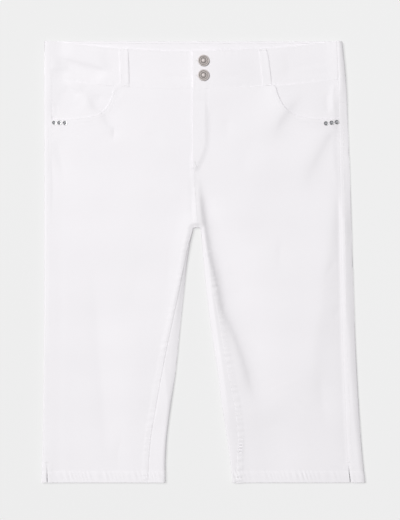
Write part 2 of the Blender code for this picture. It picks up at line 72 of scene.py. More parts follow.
SEAM_SINK = 3.0  # the cloth is lowest this far in from a side seam
SEAM_GAP = 0.01
CENTRE_STRIP = 7.0  # the centre seam is felled this far to the right of its line
FACING_TUCK = 14.0  # the hip piece runs on this far under the front's edge
BAND_DEPTH = 57.0  # the waistband, up its curve
BAND_LEVEL = 300.0  # a level half way up the waistband's side seams

# ---- stitches, mm ----
STITCH_PITCH, STITCH_LENGTH, THREAD = 3.1, 2.5, 0.27
TWIN = (1.7, 7.4)  # the two rows of an inseam, from its line
MOUTH_TWIN = (2.0, 7.6)
YOKE_TWIN = (1.8, 7.0)  # also beside the centre back seam
CENTRE_TWIN = (2.0 - CENTRE_STRIP, 9.5 - CENTRE_STRIP)  # from the centre front's line
SLIT_STITCH = 7.2
SIDE_STITCH = 5.6  # the row beside a side seam, which ends at SEAM_STITCH_TOP
SEAM_STITCH_TOP = 205.0
FLY_TWIN = 5.5  # between the two rows of the fly's J
BAND_STITCH = 3.0  # rows along the waistband are this far in from its edges


# ---- curves and paths ----
def ease(t):
    """0 to 1 with flat ends."""
    t = np.clip(t, 0.0, 1.0)
    return t * t * (3 - 2 * t)


def groove(away, width=0.7):
    return np.exp(-((away / width) ** 2))


def strip(away, start, end, soft=0.8):
    """1 between start and end, and 0 beyond them."""
    return ease((away - start) / soft + 0.5) * ease((end - away) / soft + 0.5)


def column(rows, y, name):
    """One column of a table, read between its rows at each y."""
    return np.interp(y, [row.y for row in rows], [getattr(row, name) for row in rows])


def run_along(path):
    """How far along a path each of its points is."""
    return np.concatenate([[0], np.cumsum(np.hypot(*np.diff(path, axis=0).T))])


def along_path(path, run, at):
    """x and y at some distances along a path."""
    return [np.interp(at, run, path[:, k]) for k in (0, 1)]


def line_at(xs, y):
    """Points at each x, at one y or at one y each."""
    return np.stack([xs, np.broadcast_to(y, np.shape(xs))], axis=1)


def line_beside(rail, away, start, end):
    """Points beside a rail, from one y to another."""
    ys = np.linspace(start, end, max(2, int(abs(end - start) / 2.0)))
    return np.stack([rail(ys) + away, ys], axis=1)


def softened(values, reach):
    """A Gaussian average that keeps the slope at both ends."""
    n = int(3 * reach) + 1
    before = 2 * values[0] - values[n:0:-1]
    after = 2 * values[-1] - values[-2 : -n - 2 : -1]
    weights = np.exp(-0.5 * (np.arange(-n, n + 1) / reach) ** 2)
    return np.convolve(np.concatenate([before, values, after]), weights / weights.sum(), "valid")


# ---- reading the frame ----
def low(node):
    return np.array(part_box(node)[0]) / MM


def high(node):
    return np.array(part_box(node)[1]) / MM


def round_size(node):
    """The centre and the radius of a round node."""
    return (low(node) + high(node)) / 2, (high(node)[0] - low(node)[0]) / 2


def solid(node):
    """A CAD node's points, in mm, and its edges."""
    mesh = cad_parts[node].data
    points = np.empty(len(mesh.vertices) * 3)
    mesh.vertices.foreach_get("co", points)
    edges = np.empty(len(mesh.edges) * 2, int)
    mesh.edges.foreach_get("vertices", edges)
    return points.reshape(-1, 3) / MM, edges.reshape(-1, 2)


def crossings(nodes, axis, places):
    """The least and greatest value of the other flat axis where the nodes cross each place along one axis."""
    least, most = np.full(len(places), np.inf), np.full(len(places), -np.inf)
    for node in nodes:
        points, edges = solid(node)
        a, b = points[edges[:, 0]], points[edges[:, 1]]
        keep = np.abs(a[:, axis] - b[:, axis]) > 1e-6
        a, b = a[keep], b[keep]
        for i, place in enumerate(places):
            t = (place - a[:, axis]) / (b[:, axis] - a[:, axis])
            hit = (t >= 0) & (t <= 1)
            if hit.any():
                value = (a + t[:, None] * (b - a))[hit, 1 - axis]
                least[i], most[i] = min(least[i], value.min()), max(most[i], value.max())
    return least, most


class Rail:
    """A line along the garment, as a smooth function read from the outline of CAD nodes."""

    def __init__(self, nodes, greatest, start, end, axis=1, soften=10.0, step=1.5):
        self.at = np.linspace(start + 1.5, end - 1.5, int((end - start) / step) + 2)
        values = crossings(nodes, axis, self.at)[int(greatest)]
        good = np.isfinite(values)
        self.values = softened(np.interp(self.at, self.at[good], values[good]), soften / step)
        rises, runs = np.diff(self.values), np.diff(self.at)
        self.slopes = [rises[i] / runs[i] for i in (0, -1)]

    def __call__(self, at):
        """The rail's value, run on straight past both of its ends."""
        before = np.minimum(np.asarray(at, float) - self.at[0], 0.0)
        after = np.maximum(np.asarray(at, float) - self.at[-1], 0.0)
        return np.interp(at, self.at, self.values) + before * self.slopes[0] + after * self.slopes[1]


HEM_Y = low("front_panel_right")[1]
TOP_Y = high("waistband_back")[1]
WAIST_Y = low("waistband_back")[1]
WAIST_LIFT = low("waistband_back")[2]


def find_crotch():
    """The highest point of the gap between the legs, and the middle of it."""
    ys = np.arange(20.0, 80.0, 0.5)
    right = crossings(["back_panel_right"], 1, ys)[1]
    left = crossings(["back_panel_left"], 1, ys)[0]
    last = np.flatnonzero(left - right > 2.0)[-1]
    return ys[last] + 0.7, (left[last] + right[last]) / 2


CROTCH_Y, CROTCH_X = find_crotch()
CROTCH_FOOT = CROTCH_Y - CROTCH_RISE


class Half:
    """One side of the garment. out is the direction from its middle to its side edge."""

    def __init__(self, name, out):
        self.name, self.out = name, out
        self.phase = 0.0 if out < 0 else 2.3
        back, front = f"back_panel_{name}", f"front_panel_{name}"
        upper = [f"back_yoke_{name}", "waistband_back"]
        seam_nodes = [front, f"pocket_facing_{name}", f"waistband_front_{name}"]
        self.outer = Rail([back, *upper], out > 0, HEM_Y, TOP_Y)
        self.seam = Rail(seam_nodes, out > 0, HEM_Y, TOP_Y - 1)
        self.inner_rail = Rail([back], out < 0, HEM_Y, CROTCH_Y - 4)
        self.inseam_rail = Rail([front], out < 0, HEM_Y, CROTCH_Y - 4)
        self.centre = Rail([front], out < 0, CROTCH_Y + 3, WAIST_Y - 16, soften=6.0)
        self.gap = abs(self.inner_rail(CROTCH_FOOT) - CROTCH_X)
        self.mouth = self.read_mouth(front)

    def read_mouth(self, front):
        """The pocket mouth, from the side seam to the waist seam, read from the top of the CAD front."""
        side = float(self.seam(240.0))
        xs = np.linspace(side - self.out * 0.8, side - self.out * 101.0, 400)
        tops = crossings([front], 0, xs)[1]
        steep = np.argmax(tops > WAIST_Y - 13.5) + 1
        line = line_at(xs[:steep], tops[:steep])
        run = run_along(line)
        return np.stack([softened(k, 8.0) for k in along_path(line, run, np.arange(0, run[-1], 0.5))], axis=1)

    def inner(self, y):
        """The folded inner edge, rounded into the crotch."""
        t = np.clip((np.asarray(y, float) - CROTCH_FOOT) / CROTCH_RISE, 0.0, 1.0)
        arch = CROTCH_X + self.out * self.gap * (1 - t**SQUARE) ** (1 / SQUARE)
        return np.where(t > 0, arch, self.inner_rail(y))

    def inseam(self, y):
        edge = self.inner(y)
        merged = ease((CROTCH_Y - 3 - np.asarray(y, float)) / 24.0)
        return edge + self.out * np.maximum(self.out * (self.inseam_rail(y) - edge), 0.0) * merged

    def middle(self, y):
        """The front's other edge: the inseam below the crotch, and the centre seam above it."""
        return np.where(np.asarray(y) < CROTCH_Y, self.inseam(y), self.centre(y))


RIGHT, LEFT = Half("right", -1.0), Half("left", 1.0)
HALVES = (RIGHT, LEFT)
FLY_EDGE = low("fly_facing")[0] - FLY_OVERLAP
FLY_FOOT = low("fly_facing")[1]


def read_waist_line(greatest):
    """The waist seam or the head of the front waistband, as a smooth line right across the front."""
    nodes = ["waistband_front_right", "waistband_front_left"]
    start, end = (float(half.seam(TOP_Y - 6)) for half in HALVES)
    return Rail(nodes, greatest, start, end, axis=0, soften=9.0)


waist_seam, band_head = read_waist_line(False), read_waist_line(True)

# ---- how the cloth lies, mm ----
# Height of the top layer down the middle of the garment.
Level = namedtuple("Level", "y height")
LEVELS = [Level(-332, 6.3), Level(-290, 6.1), Level(-100, 6.2), Level(60, 6.5), Level(180, 7.0),
          Level(262, 7.5), Level(332, 7.6)]

# How wide the soft fold is across an edge, and how much of it falls straight, like a ramp.
Turn = namedtuple("Turn", "y width ramp")
TURNS = {
    "right_inner": [Turn(-332, 5.0, 0.0), Turn(-250, 5.0, 0.0), Turn(-207, 6.5, 0.2), Turn(-175, 14.0, 0.7),
                    Turn(-147, 20.0, 0.75), Turn(-102, 17.0, 0.8), Turn(-57, 12.0, 0.85), Turn(-27, 8.0, 0.6),
                    Turn(-4, 4.4, 0.3), Turn(18, 2.8, 0.1), Turn(45, 1.8, 0.0)],
    "left_inner": [Turn(-332, 1.6, 0.0)],
    "right_outer": [Turn(-332, 1.6, 0.0)],
    "left_outer": [Turn(-332, 7.0, 0.3), Turn(-207, 9.0, 0.5), Turn(-57, 12.0, 0.7), Turn(60, 12.0, 0.7),
                   Turn(100, 19.0, 0.9), Turn(180, 24.0, 0.9), Turn(240, 18.0, 0.8), Turn(262, 10.0, 0.5),
                   Turn(332, 5.0, 0.2)],
}

# Folds in the front. Each has a path, how high its crest is (or how deep), how fast it falls off to its
# left and right as it is walked along, at its start and end, how round its line is, how long it takes to
# fade in and out, as shares of its length.
Fold = namedtuple("Fold", "name path height left right left_end right_end soft fade_in fade_out")
FRONT_FOLDS = [
    Fold("crotch_left", [(-16, 128), (-16, 95), (-18, 62)], -1.0, 7, 4, 7, 5, 1.0, 0.3, 0.3),
    Fold("facing_left_ridge", [(196, 269), (194, 245), (195, 222)], 1.0, 2.5, 3.5, 2.5, 3.5, 0.8, 0.25,
         0.2),
    Fold("facing_left_valley", [(186, 258), (185, 240), (187, 222)], -0.7, 5, 3.5, 5, 3.5, 1.0, 0.3, 0.2),
    Fold("side_left", [(197, 118), (191, 60), (183, 0), (175, -58), (167, -120), (160, -190), (164, -250)],
         3.2, 13, 50, 30, 60, 10.0, 0.2, 0.35),
    Fold("side_low", [(176, -150), (178, -200), (186, -260)], -0.9, 14, 8, 16, 10, 3.0, 0.4, 0.5),
    Fold("side_tick_a", [(202, 8), (188, -14), (180, -40)], -0.6, 8, 4, 10, 5, 1.0, 0.3, 0.6),
    Fold("side_tick_b", [(205, -60), (195, -92)], -0.5, 7, 4, 8, 5, 1.0, 0.4, 0.5),
    Fold("hip_a", [(42, 226), (36, 196), (30, 176)], -0.5, 10, 6, 12, 8, 1.5, 0.4, 0.5),
    Fold("hip_b", [(34, 214), (32, 200)], -0.35, 4, 3, 4, 3, 0.8, 0.4, 0.4),
    Fold("hip_c", [(78, 196), (66, 160), (58, 120)], -0.8, 26, 12, 30, 16, 4.0, 0.4, 0.5),
    Fold("knee_left", [(118, 42), (115, 8), (118, -26)], -0.9, 15, 7, 18, 9, 2.5, 0.4, 0.5),
    Fold("pocket_right_mid", [(-157, 252), (-156, 238)], -0.5, 7, 4, 7, 4, 1.0, 0.3, 0.4),
    Fold("pocket_right_high", [(-133, 259), (-124, 245)], -0.5, 7, 4, 7, 4, 1.0, 0.3, 0.4),
    Fold("pocket_right_short", [(-134, 206), (-135, 180)], -1.1, 8, 3.5, 8, 3.5, 0.8, 0.4, 0.5),
    Fold("facing_right_a", [(-228, 240), (-227, 219)], -0.5, 2.5, 2.5, 2.5, 2.5, 0.6, 0.4, 0.2),
    Fold("facing_right_b", [(-221, 240), (-219, 219)], -0.5, 2.5, 2.5, 2.5, 2.5, 0.6, 0.4, 0.2),
    Fold("hip_right_a", [(-92, 197), (-74, 186), (-55, 170)], -0.6, 8, 5, 10, 8, 1.5, 0.4, 0.5),
    Fold("hip_right_b", [(-222, 188), (-214, 150), (-206, 112)], -0.8, 8, 4, 12, 6, 1.5, 0.3, 0.5),
    Fold("hip_right_c", [(-231, 170), (-226, 120), (-227, 60)], -0.5, 6, 3, 8, 4, 1.0, 0.3, 0.5),
    Fold("hem_right_leg", [(-62, -208), (-78, -246), (-104, -268)], 0.7, 8, 7, 12, 10, 2.0, 0.4, 0.5),
    Fold("shin_right", [(-166, 20), (-160, -80), (-154, -170), (-146, -250), (-140, -318)], -1.7, 26, 17,
         24, 14, 7.0, 0.35, 0.2),
    Fold("shin_right_low", [(-122, -252), (-128, -290), (-126, -322)], -0.7, 12, 7, 12, 8, 2.0, 0.4, 0.4),
    Fold("knee_right", [(-92, 20), (-104, -40), (-112, -110)], -0.7, 24, 16, 26, 18, 6.0, 0.4, 0.5),
]

# Where the cloth steps down across a line, lower on its left as it is walked along: how far it drops, how
# wide the steep part is on its left and right, at places spread evenly along it, how far the step reaches
# to each side, and how long it takes to fade in and out.
Step = namedtuple("Step", "name path drop left right reach fade_in fade_out")
FRONT_STEPS = [
    Step("thigh", [(-6, 130), (-5.5, 108), (-2, 85), (0.5, 62), (3.5, 40), (6.5, 18), (12.5, -4), (19, -27),
         (23.5, -49), (28, -72), (38, -94), (48, -117), (56.5, -140), (63, -162), (69, -185), (77, -207),
         (92, -234)], 8.2, (5, 5, 7, 8, 8, 9, 18), (3, 3, 3.5, 5, 7, 8, 14), 50, 0.14, 0.2),
    Step("pocket_left_steep", [(152, 257), (146, 250), (130, 229.5), (120, 216), (112, 202), (108, 190),
         (103, 172)], 3.8, (6, 7, 10), (5, 6, 7), 34, 0.5, 0.5),
    Step("pocket_left_long", [(198, 202), (190, 190), (183, 180), (172, 159), (161, 137), (155, 118),
         (148, 92)], 3.4, (7, 8, 12), (6, 8, 11), 40, 0.15, 0.55),
    Step("pocket_right_long", [(-179, 256), (-171, 243), (-165, 231), (-154, 221), (-147, 210), (-139, 198),
         (-134, 185)], 3.0, (4, 6, 5), (3.5, 4, 4), 24, 0.25, 0.5),
    Step("pocket_right_low", [(-180, 252), (-186, 255.5), (-197, 261), (-210, 269)], 2.2, (3, 3),
         (2.5, 2.5), 14, 0.3, 0.35),
]
BAND_STEPS = [
    Step("band_right_a", [(-138, 285), (-145, 288), (-167, 294), (-191, 300), (-223, 310)], 4.2,
         (4.5, 5.5, 4.5), (3.5, 4, 3.5), 24, 0.25, 0.3),
    Step("band_right_b", [(-200, 286), (-216, 288), (-232, 291)], 1.5, (3, 3), (3, 3), 12, 0.35, 0.35),
]

# How far each side seam is drawn down into the cloth beside it.
SideSeam = namedtuple("SideSeam", "y right left")
SIDE_SEAMS = [SideSeam(-332, 0.05, 0.5), SideSeam(-250, 0.05, 0.7), SideSeam(-57, 0.05, 1.5),
              SideSeam(20, 0.05, 2.3), SideSeam(80, 0.05, 2.2), SideSeam(125, 0.05, 0.6),
              SideSeam(332, 0.05, 0.2)]

# Broad swells and hollows: a straight run, its half-width on each side of it, and its height or depth.
Swell = namedtuple("Swell", "start end left right height")
SWELLS = [
    Swell((100, 300), (104, 190), 60, 50, 1.5),
    Swell((104, 40), (96, -190), 36, 36, 0.9),
    Swell((96, -236), (108, -322), 34, 30, -1.4),  # the hollow above the left hem
    Swell((-106, -96), (-110, -262), 26, 30, 0.9),
    Swell((-208, 20), (-212, -300), 16, 24, 0.5),
    Swell((-70, 160), (-96, 30), 40, 44, 0.8),
    Swell((70, 150), (66, 60), 34, 30, 0.6),
]

BACK_FOLDS = [
    Fold("seat_right", [(-22, 62), (-52, 34), (-96, 16)], 1.6, 12, 9, 18, 14, 3.0, 0.3, 0.5),
    Fold("seat_right_low", [(-30, 20), (-62, -12), (-88, -60)], 1.2, 10, 8, 15, 12, 3.0, 0.3, 0.5),
    Fold("seat_left", [(2, 60), (38, 38), (84, 26)], 1.5, 9, 12, 14, 18, 3.0, 0.3, 0.5),
    Fold("seat_left_low", [(8, 14), (36, -24), (60, -80)], 1.3, 8, 10, 12, 15, 3.0, 0.3, 0.5),
    Fold("hip_right", [(-214, 168), (-168, 118), (-144, 52)], 1.1, 14, 10, 18, 14, 3.0, 0.3, 0.5),
    Fold("hip_left", [(192, 180), (150, 126), (132, 66)], 1.2, 10, 14, 14, 18, 3.0, 0.3, 0.5),
    Fold("knee_right", [(-220, -84), (-170, -104), (-120, -96)], 0.9, 14, 10, 16, 14, 3.0, 0.4, 0.5),
    Fold("knee_right_low", [(-96, -140), (-128, -176), (-176, -190)], 0.8, 12, 10, 14, 12, 3.0, 0.4, 0.5),
    Fold("knee_left", [(206, -70), (158, -98), (104, -96)], 0.9, 10, 14, 14, 16, 3.0, 0.4, 0.5),
    Fold("calf_left", [(78, -176), (112, -222), (120, -280)], 0.9, 12, 12, 16, 14, 3.0, 0.4, 0.5),
]

BAND_FOLDS = [
    Fold("band_right_c", [(-62, 280), (-40, 278), (-19, 277)], -0.4, 3, 3, 3, 3, 0.8, 0.4, 0.2),
    Fold("band_right_d", [(-132, 284), (-110, 279), (-96, 280)], -0.4, 5, 6, 6, 8, 1.2, 0.4, 0.4),
    Fold("band_left_a", [(22, 281), (44, 279), (62, 282)], -0.35, 4, 4, 4, 4, 1.0, 0.3, 0.5),
    Fold("band_left_b", [(196, 302), (160, 296), (118, 290)], -0.7, 8, 12, 9, 12, 2.0, 0.4, 0.4),
    Fold("band_left_c", [(198, 286), (176, 283), (140, 283)], -0.4, 5, 5, 7, 7, 1.5, 0.4, 0.4),
    Fold("band_left_d", [(120, 322), (128, 300), (124, 268)], -0.8, 22, 9, 24, 10, 3.0, 0.4, 0.3),
]


def smooth_path(points, count=28):
    """A path of evenly spread points on one smooth curve through the given ones."""
    points = np.array(points, float)
    ends = [2 * points[0] - points[1], *points, 2 * points[-1] - points[-2]]
    at = np.linspace(0, len(points) - 1, count)
    i = np.minimum(at.astype(int), len(points) - 2)
    t = (at - i)[:, None]
    a, b, c, d = (np.array(ends)[i + k] for k in range(4))
    return b + 0.5 * t * (c - a + t * (2 * a - 5 * b + 4 * c - d + t * (3 * (b - c) + d - a)))


def nearest(path, x, y):
    """Each point's signed distance from a path, positive on its right, and how far along that is, 0 to 1."""
    best = np.full(np.shape(x), np.inf)
    signed, share = np.zeros(np.shape(x)), np.zeros(np.shape(x))
    starts = run_along(path)
    lengths = np.diff(starts)
    for k, (a, b) in enumerate(zip(path[:-1], path[1:])):
        run = (b - a) / lengths[k]
        t = np.clip(((x - a[0]) * run[0] + (y - a[1]) * run[1]), 0, lengths[k])
        dx, dy = x - a[0] - t * run[0], y - a[1] - t * run[1]
        away = np.hypot(dx, dy)
        closer = away < best
        best = np.where(closer, away, best)
        on_right = dx * run[1] - dy * run[0] >= 0
        signed = np.where(closer, np.where(on_right, away, -away), signed)
        share = np.where(closer, (starts[k] + t) / starts[-1], share)
    return signed, share


def faded(row, share):
    return ease(share / row.fade_in) * ease((1 - share) / row.fade_out)


def fold_height(folds, x, y):
    total = np.zeros(np.shape(x))
    for fold in folds:
        path = smooth_path(fold.path)
        reach = 3.5 * max(fold.left, fold.right, fold.left_end, fold.right_end)
        (x0, y0), (x1, y1) = path.min(axis=0) - reach, path.max(axis=0) + reach
        near = (x > x0) & (x < x1) & (y > y0) & (y < y1)
        if not near.any():
            continue
        away, share = nearest(path, x[near], y[near])
        start = np.where(away > 0, fold.right, fold.left)
        end = np.where(away > 0, fold.right_end, fold.left_end)
        width = start + (end - start) * share
        shape = np.exp(-(np.hypot(away, fold.soft) - fold.soft) / width)
        total[near] += fold.height * shape * faded(fold, share)
    return total


def step_height(steps, x, y):
    total = np.zeros(np.shape(x))
    for step in steps:
        away, share = nearest(smooth_path(step.path), x, y)
        left, right = (np.interp(share, np.linspace(0, 1, len(w)), w) for w in (step.left, step.right))
        width = np.where(away > 0, right, left)
        reach = step.reach * (0.3 + 0.7 * ease(share / 0.35))
        shape = np.sign(away) * (1 - np.exp(-np.abs(away) / width)) * groove(away, reach)
        total += step.drop * width / (left + right) * shape * faded(step, share)
    return total


def swell_height(x, y):
    total = np.zeros(np.shape(x))
    for swell in SWELLS:
        start, end = np.array(swell.start, float), np.array(swell.end, float)
        run = end - start
        length = np.hypot(*run)
        along = ((x - start[0]) * run[0] + (y - start[1]) * run[1]) / length**2
        away = ((x - start[0]) * run[1] - (y - start[1]) * run[0]) / length
        fade = ease(0.5 + (along + 0.02) / 0.4) * ease(0.5 + (1.02 - along) / 0.4)
        total += swell.height * groove(away, np.where(away > 0, swell.right, swell.left)) * fade
    return total


def unevenness(x, y):
    """The slight waviness of cloth that has been smoothed flat by hand."""
    broad = np.sin(x / 31 + 1.3 * np.sin(y / 83)) * np.sin(y / 47 + 0.9 * np.sin(x / 59 + 1.7))
    middle = np.sin(x / 13 + y / 29 + 1.1 * np.sin(y / 41)) * np.sin(y / 19 - x / 37 + 0.6)
    fine = np.sin(x / 5.3 - y / 9.1 + np.sin(y / 23)) * np.sin(y / 7.7 + x / 13.9)
    return 0.22 * broad + 0.09 * middle + 0.025 * fine


def pucker(along, phase, away, width):
    """The uneven little waves that stitching draws up along a seam, -1 to 1, and over a width beside it."""
    turn = along / 7.4 + 0.5 * np.sin(along / 8.3 + phase) + 0.35 * np.sin(along / 15.7 + 2 * phase)
    strength = 0.62 + 0.38 * np.sin(along / 11.3 + 1.9 * phase) * np.sin(along / 27.0 + phase)
    return np.sin(2 * np.pi * turn) * strength * groove(away, width)


# ---- heights of the two layers ----
def floor_z(y):
    """The back is on the surface, and is lifted a little where belt loops lie under the waistband."""
    return WAIST_LIFT * ease((y - 205.0) / 55.0)


def crotch_away(half, x, y):
    """Distance from the rounded crotch, for points level with it or above it."""
    dx, dy = x - CROTCH_X, y - CROTCH_FOOT
    size = (np.abs(dx / half.gap) ** SQUARE + np.abs(dy / CROTCH_RISE) ** SQUARE) ** (1 / SQUARE)
    return np.hypot(dx, dy) * (1 - 1 / np.maximum(size, 1e-6))


def edges_away(half, x, y):
    """Distance in from the folded outer edge, and from the folded inner edge or the crotch."""
    inner = np.where(y < CROTCH_FOOT, half.out * (x - half.inner(y)), crotch_away(half, x, y))
    return {"outer": half.out * (half.outer(y) - x), "inner": inner}


def turn_at(half, edge, y):
    """The width and the ramp of a soft fold."""
    rows = TURNS[f"{half.name}_{edge}"]
    return column(rows, y, "width"), column(rows, y, "ramp")


def smoothed_z(half, x, y):
    """Height of the top layer without its folds, and how far in from a folded edge each point is."""
    away = edges_away(half, x, y)
    wobble = 1 + 0.08 * np.sin(y / 17.0 + half.phase) * np.sin(y / 43.0 + 1.0)
    rolls = []
    for edge, distance in away.items():
        width, straight = turn_at(half, edge, y)
        share = 1 - np.clip(distance / (width * wobble), 0.0, 1.0)
        rolls.append(ROLL * wobble * (1 + (1 - straight) * np.sqrt(1 - share**2) + straight * (1 - share)))
    inside = np.maximum(np.minimum(*away.values()), 0.0)
    level = column(LEVELS, y, "height") - floor_z(y)
    return floor_z(y) + np.minimum(*rolls) + (level - 2 * ROLL) * ease((inside - 3.0) / 26.0), inside


def top_z(half, x, y):
    """Height of the outside of the top layer before its seams."""
    z, inside = smoothed_z(half, x, y)
    folds = fold_height(FRONT_FOLDS, x, y) + step_height(FRONT_STEPS, x, y) + swell_height(x, y)
    z = z + (folds + unevenness(x, y)) * ease((inside - 1.0) / 8.0)
    least = floor_z(y) + LEAST
    return np.where(inside > 4.0, least + 0.5 * np.logaddexp(0.0, (z - least) / 0.5), z)


def hem_share(y):
    """1 on the turned-up hem, and 0 above it."""
    return ease((HEM_HEIGHT - (y - HEM_Y)) / 1.6 + 0.5)


def panel_thickness(y):
    return PLY + (HEM_THICK + 0.3) * hem_share(y)


def slit_gap(y):
    """How far each side of the hem slit stands back from the side seam."""
    return SEAM_GAP + SLIT_OPEN * ease((SLIT_LENGTH - (y - HEM_Y)) / SLIT_LENGTH)


def seam_relief(half, x, y):
    """Seams, with their allowances pressed to one side, stitch lines and puckers, and the turned-up hem."""
    side, up = half.out * (x - half.seam(y)), y - HEM_Y
    above_slit = ease((up - SLIT_LENGTH) / 6.0)
    beside = side + SEAM_SINK
    drawn_down = np.exp(-np.abs(beside) / np.where(beside < 0, 6.0, 5.0))
    pressed = 0.15 if half is LEFT else 0.04
    relief = pressed * (strip(side, 0.3, 7.0) * above_slit - groove(side))
    relief += 0.16 * pucker(y, 1.0 + half.phase, side, 5.0) * above_slit
    relief -= column(SIDE_SEAMS, y, half.name) * drawn_down
    slit = ease((SLIT_LENGTH - up) / 5.0)
    relief += slit * (0.35 * strip(np.abs(side), 1.0, 8.0) - 0.3 * groove(np.abs(side) - SLIT_STITCH))
    inseam = half.out * (x - half.inseam(y))
    felled = 0.35 * strip(inseam, 0.2, 8.8, 2.0) - 0.15 * sum(groove(inseam - away) for away in TWIN)
    drawn = pucker(y, half.phase, inseam - 4.5, 5.0) * (0.5 if half is RIGHT else 0.85)
    line = (0.35 if half is RIGHT else 0.2) * groove(inseam, 0.8)
    relief += ease((CROTCH_Y - 2 - y) / 8.0) * (felled + drawn - line)
    waves = 0.42 * pucker(x + 0.35 * up, 3.0 + half.phase, up - 11, 7.0)
    return relief + HEM_THICK * hem_share(y) - 0.45 * groove(up - HEM_STITCH) + waves


def centre_relief(x, y):
    """The felled centre front seam, from the crotch to the foot of the fly."""
    away = x - RIGHT.centre(y) + CENTRE_STRIP
    share = ease((y - CROTCH_Y + 2) / 5.0) * ease((FLY_FOOT + 26 - y) / 30.0)
    sewn = sum(groove(away - CENTRE_STRIP - row) for row in CENTRE_TWIN)
    felled = 0.3 * strip(away, 0.2, 11.5, 2.4) - 0.25 * sewn
    return share * (felled + 0.35 * pucker(y, 4.0, away - 5.5, 6.0) - 0.35 * groove(away, 0.9))


def fly_reach(y):
    """How far the J of fly stitching is from the overlapping edge."""
    t = np.clip((FLY_FOOT + 45.0 - y) / 45.0, 0.0, 1.0)
    return FLY_TOE + (FLY_WIDTH - FLY_TOE) * (1 - t**1.7)


def fly_share(x, y, margin=0.0):
    """1 on the part of the left front that is stitched to its fly facing, and 0 past the J."""
    on = ease((fly_reach(y) + 5.0 + margin - (x - FLY_EDGE)) / 8.0)
    return on * ease((y - FLY_FOOT + 8) / 10.0)


def mouth_away(half, x, y):
    """Distance from the pocket mouth, and 0 to 1 from the side seam inwards."""
    near = (y > 170) & (half.out * x > 60)
    away = np.full(np.shape(x), 99.0)
    if np.any(near):
        away[near] = np.abs(nearest(half.mouth[::12], np.asarray(x)[near], np.asarray(y)[near])[0])
    return away, ease(-half.out * (x - half.seam(y)) / 12.0)


def overlap_share(x):
    """The left waistband climbs over the right one at the centre front."""
    return ease((high("waistband_front_right")[0] + 75.0 - x) / 80.0)


def front_z(half, x, y):
    z = top_z(half, x, y) + seam_relief(half, x, y) + centre_relief(x, y)
    away, inside = mouth_away(half, x, y)
    z = z + MOUTH_LIFT[half.name] * inside * groove(away, 13.0)
    z = z - 0.2 * sum(groove(away - row) for row in MOUTH_TWIN)
    if half is LEFT:
        away = x - FLY_EDGE - fly_reach(y)
        line = 0.4 * groove(away) + 0.3 * groove(away + FLY_TWIN)
        near_band = overlap_share(x) * ease((y - waist_seam(x) + 42.0) / 40.0)
        under_band = near_band * (OVERLAP_LIFT + BAND_PROUD - 0.1)
        z = z + np.maximum(fly_share(x, y) * FLY_LIFT, under_band)
        z = z + fly_share(x, y, 3.0) * (0.25 * pucker(y, 5.0, away, 5.0) - line)
    return z


def turned_under(away):
    """Height of the underside near a folded edge."""
    return ROLL * (1 - np.sqrt(1 - np.clip(1 - away / ROLL, 0.0, 1.0) ** 2))


def under_z(half, x, y):
    """Height of the underside. It rests flat, apart from its folded edges, the creases and the seams."""
    away = np.minimum(*edges_away(half, x, y).values())
    creases = np.maximum(fold_height(BACK_FOLDS, x, y) + 0.6 * unevenness(x, y), 0.0)
    creases = creases * ease((away - 6.0) / 14.0)
    centre = 0.6 * groove(x - RIGHT.centre(y), 0.8) * ease((y - CROTCH_Y) / 6.0)
    hem = 0.5 * groove(y - HEM_Y - HEM_STITCH) * ease((away - 4.0) / 4.0)
    return floor_z(y) + turned_under(away) + creases + centre + hem


def band_z(half, x, y):
    """Height of the outside of the front waistband."""
    z, inside = smoothed_z(half, x, y)
    folds = fold_height(BAND_FOLDS, x, y) + step_height(BAND_STEPS, x, y) + 0.8 * unevenness(x, y)
    z = z + BAND_PROUD + folds * ease((inside - 1.5) / 10.0)
    for away, phase in ((y - waist_seam(x) - BAND_STITCH, 0.4), (y - band_head(x) + BAND_STITCH, 1.9)):
        z += 0.16 * pucker(x, phase + half.phase, away, 5.0) - 0.3 * groove(away)
    z -= (0.4 if half is LEFT else 0.1) * groove(x - half.seam(y), 0.8)
    return z + overlap_share(x) * OVERLAP_LIFT if half is LEFT else z


def under_band_z(x, y):
    """Height of the underside of the back waistband."""
    seam = 0.5 * groove(y - WAIST_Y, 0.8)
    lines = 0.3 * groove(y - WAIST_Y - BAND_STITCH) + 0.3 * groove(y - TOP_Y + BAND_STITCH)
    lift = BACK_RISE * ease((y - TOP_Y + 30.0) / 26.0)
    return floor_z(y) + np.maximum(0.5 * unevenness(x, y), 0.0) + seam + lines + lift


# ---- meshes ----
Piece = namedtuple("Piece", "obj area")


def in_scene(name, data):
    obj = bpy.data.objects.new(name, data)
    bpy.context.scene.collection.objects.link(obj)
    return obj


def new_object(name, points, faces, surface, sharp=0.9, uvs=None):
    mesh = bpy.data.meshes.new(name)
    mesh.from_pydata((np.asarray(points) * MM).tolist(), [], faces)
    mesh.materials.append(surface)
    if uvs is not None:
        layer = mesh.uv_layers.new(name="cloth")
        corners = np.empty(len(mesh.loops), int)
        mesh.loops.foreach_get("vertex_index", corners)
        layer.data.foreach_set("uv", (np.asarray(uvs) * MM)[corners].ravel())
    mesh.shade_smooth()
    mesh.set_sharp_from_angle(angle=sharp)
    mesh.validate()
    obj = in_scene(name, mesh)
    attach(obj, BODY)
    return obj


def run_lengths(grid, axis):
    """Distance along the grid from its first row or column."""
    steps = np.linalg.norm(np.diff(grid, axis=axis), axis=2)
    shape = (1, steps.shape[1]) if axis == 0 else (steps.shape[0], 1)
    return np.concatenate([np.zeros(shape), np.cumsum(steps, axis=axis)], axis=axis)


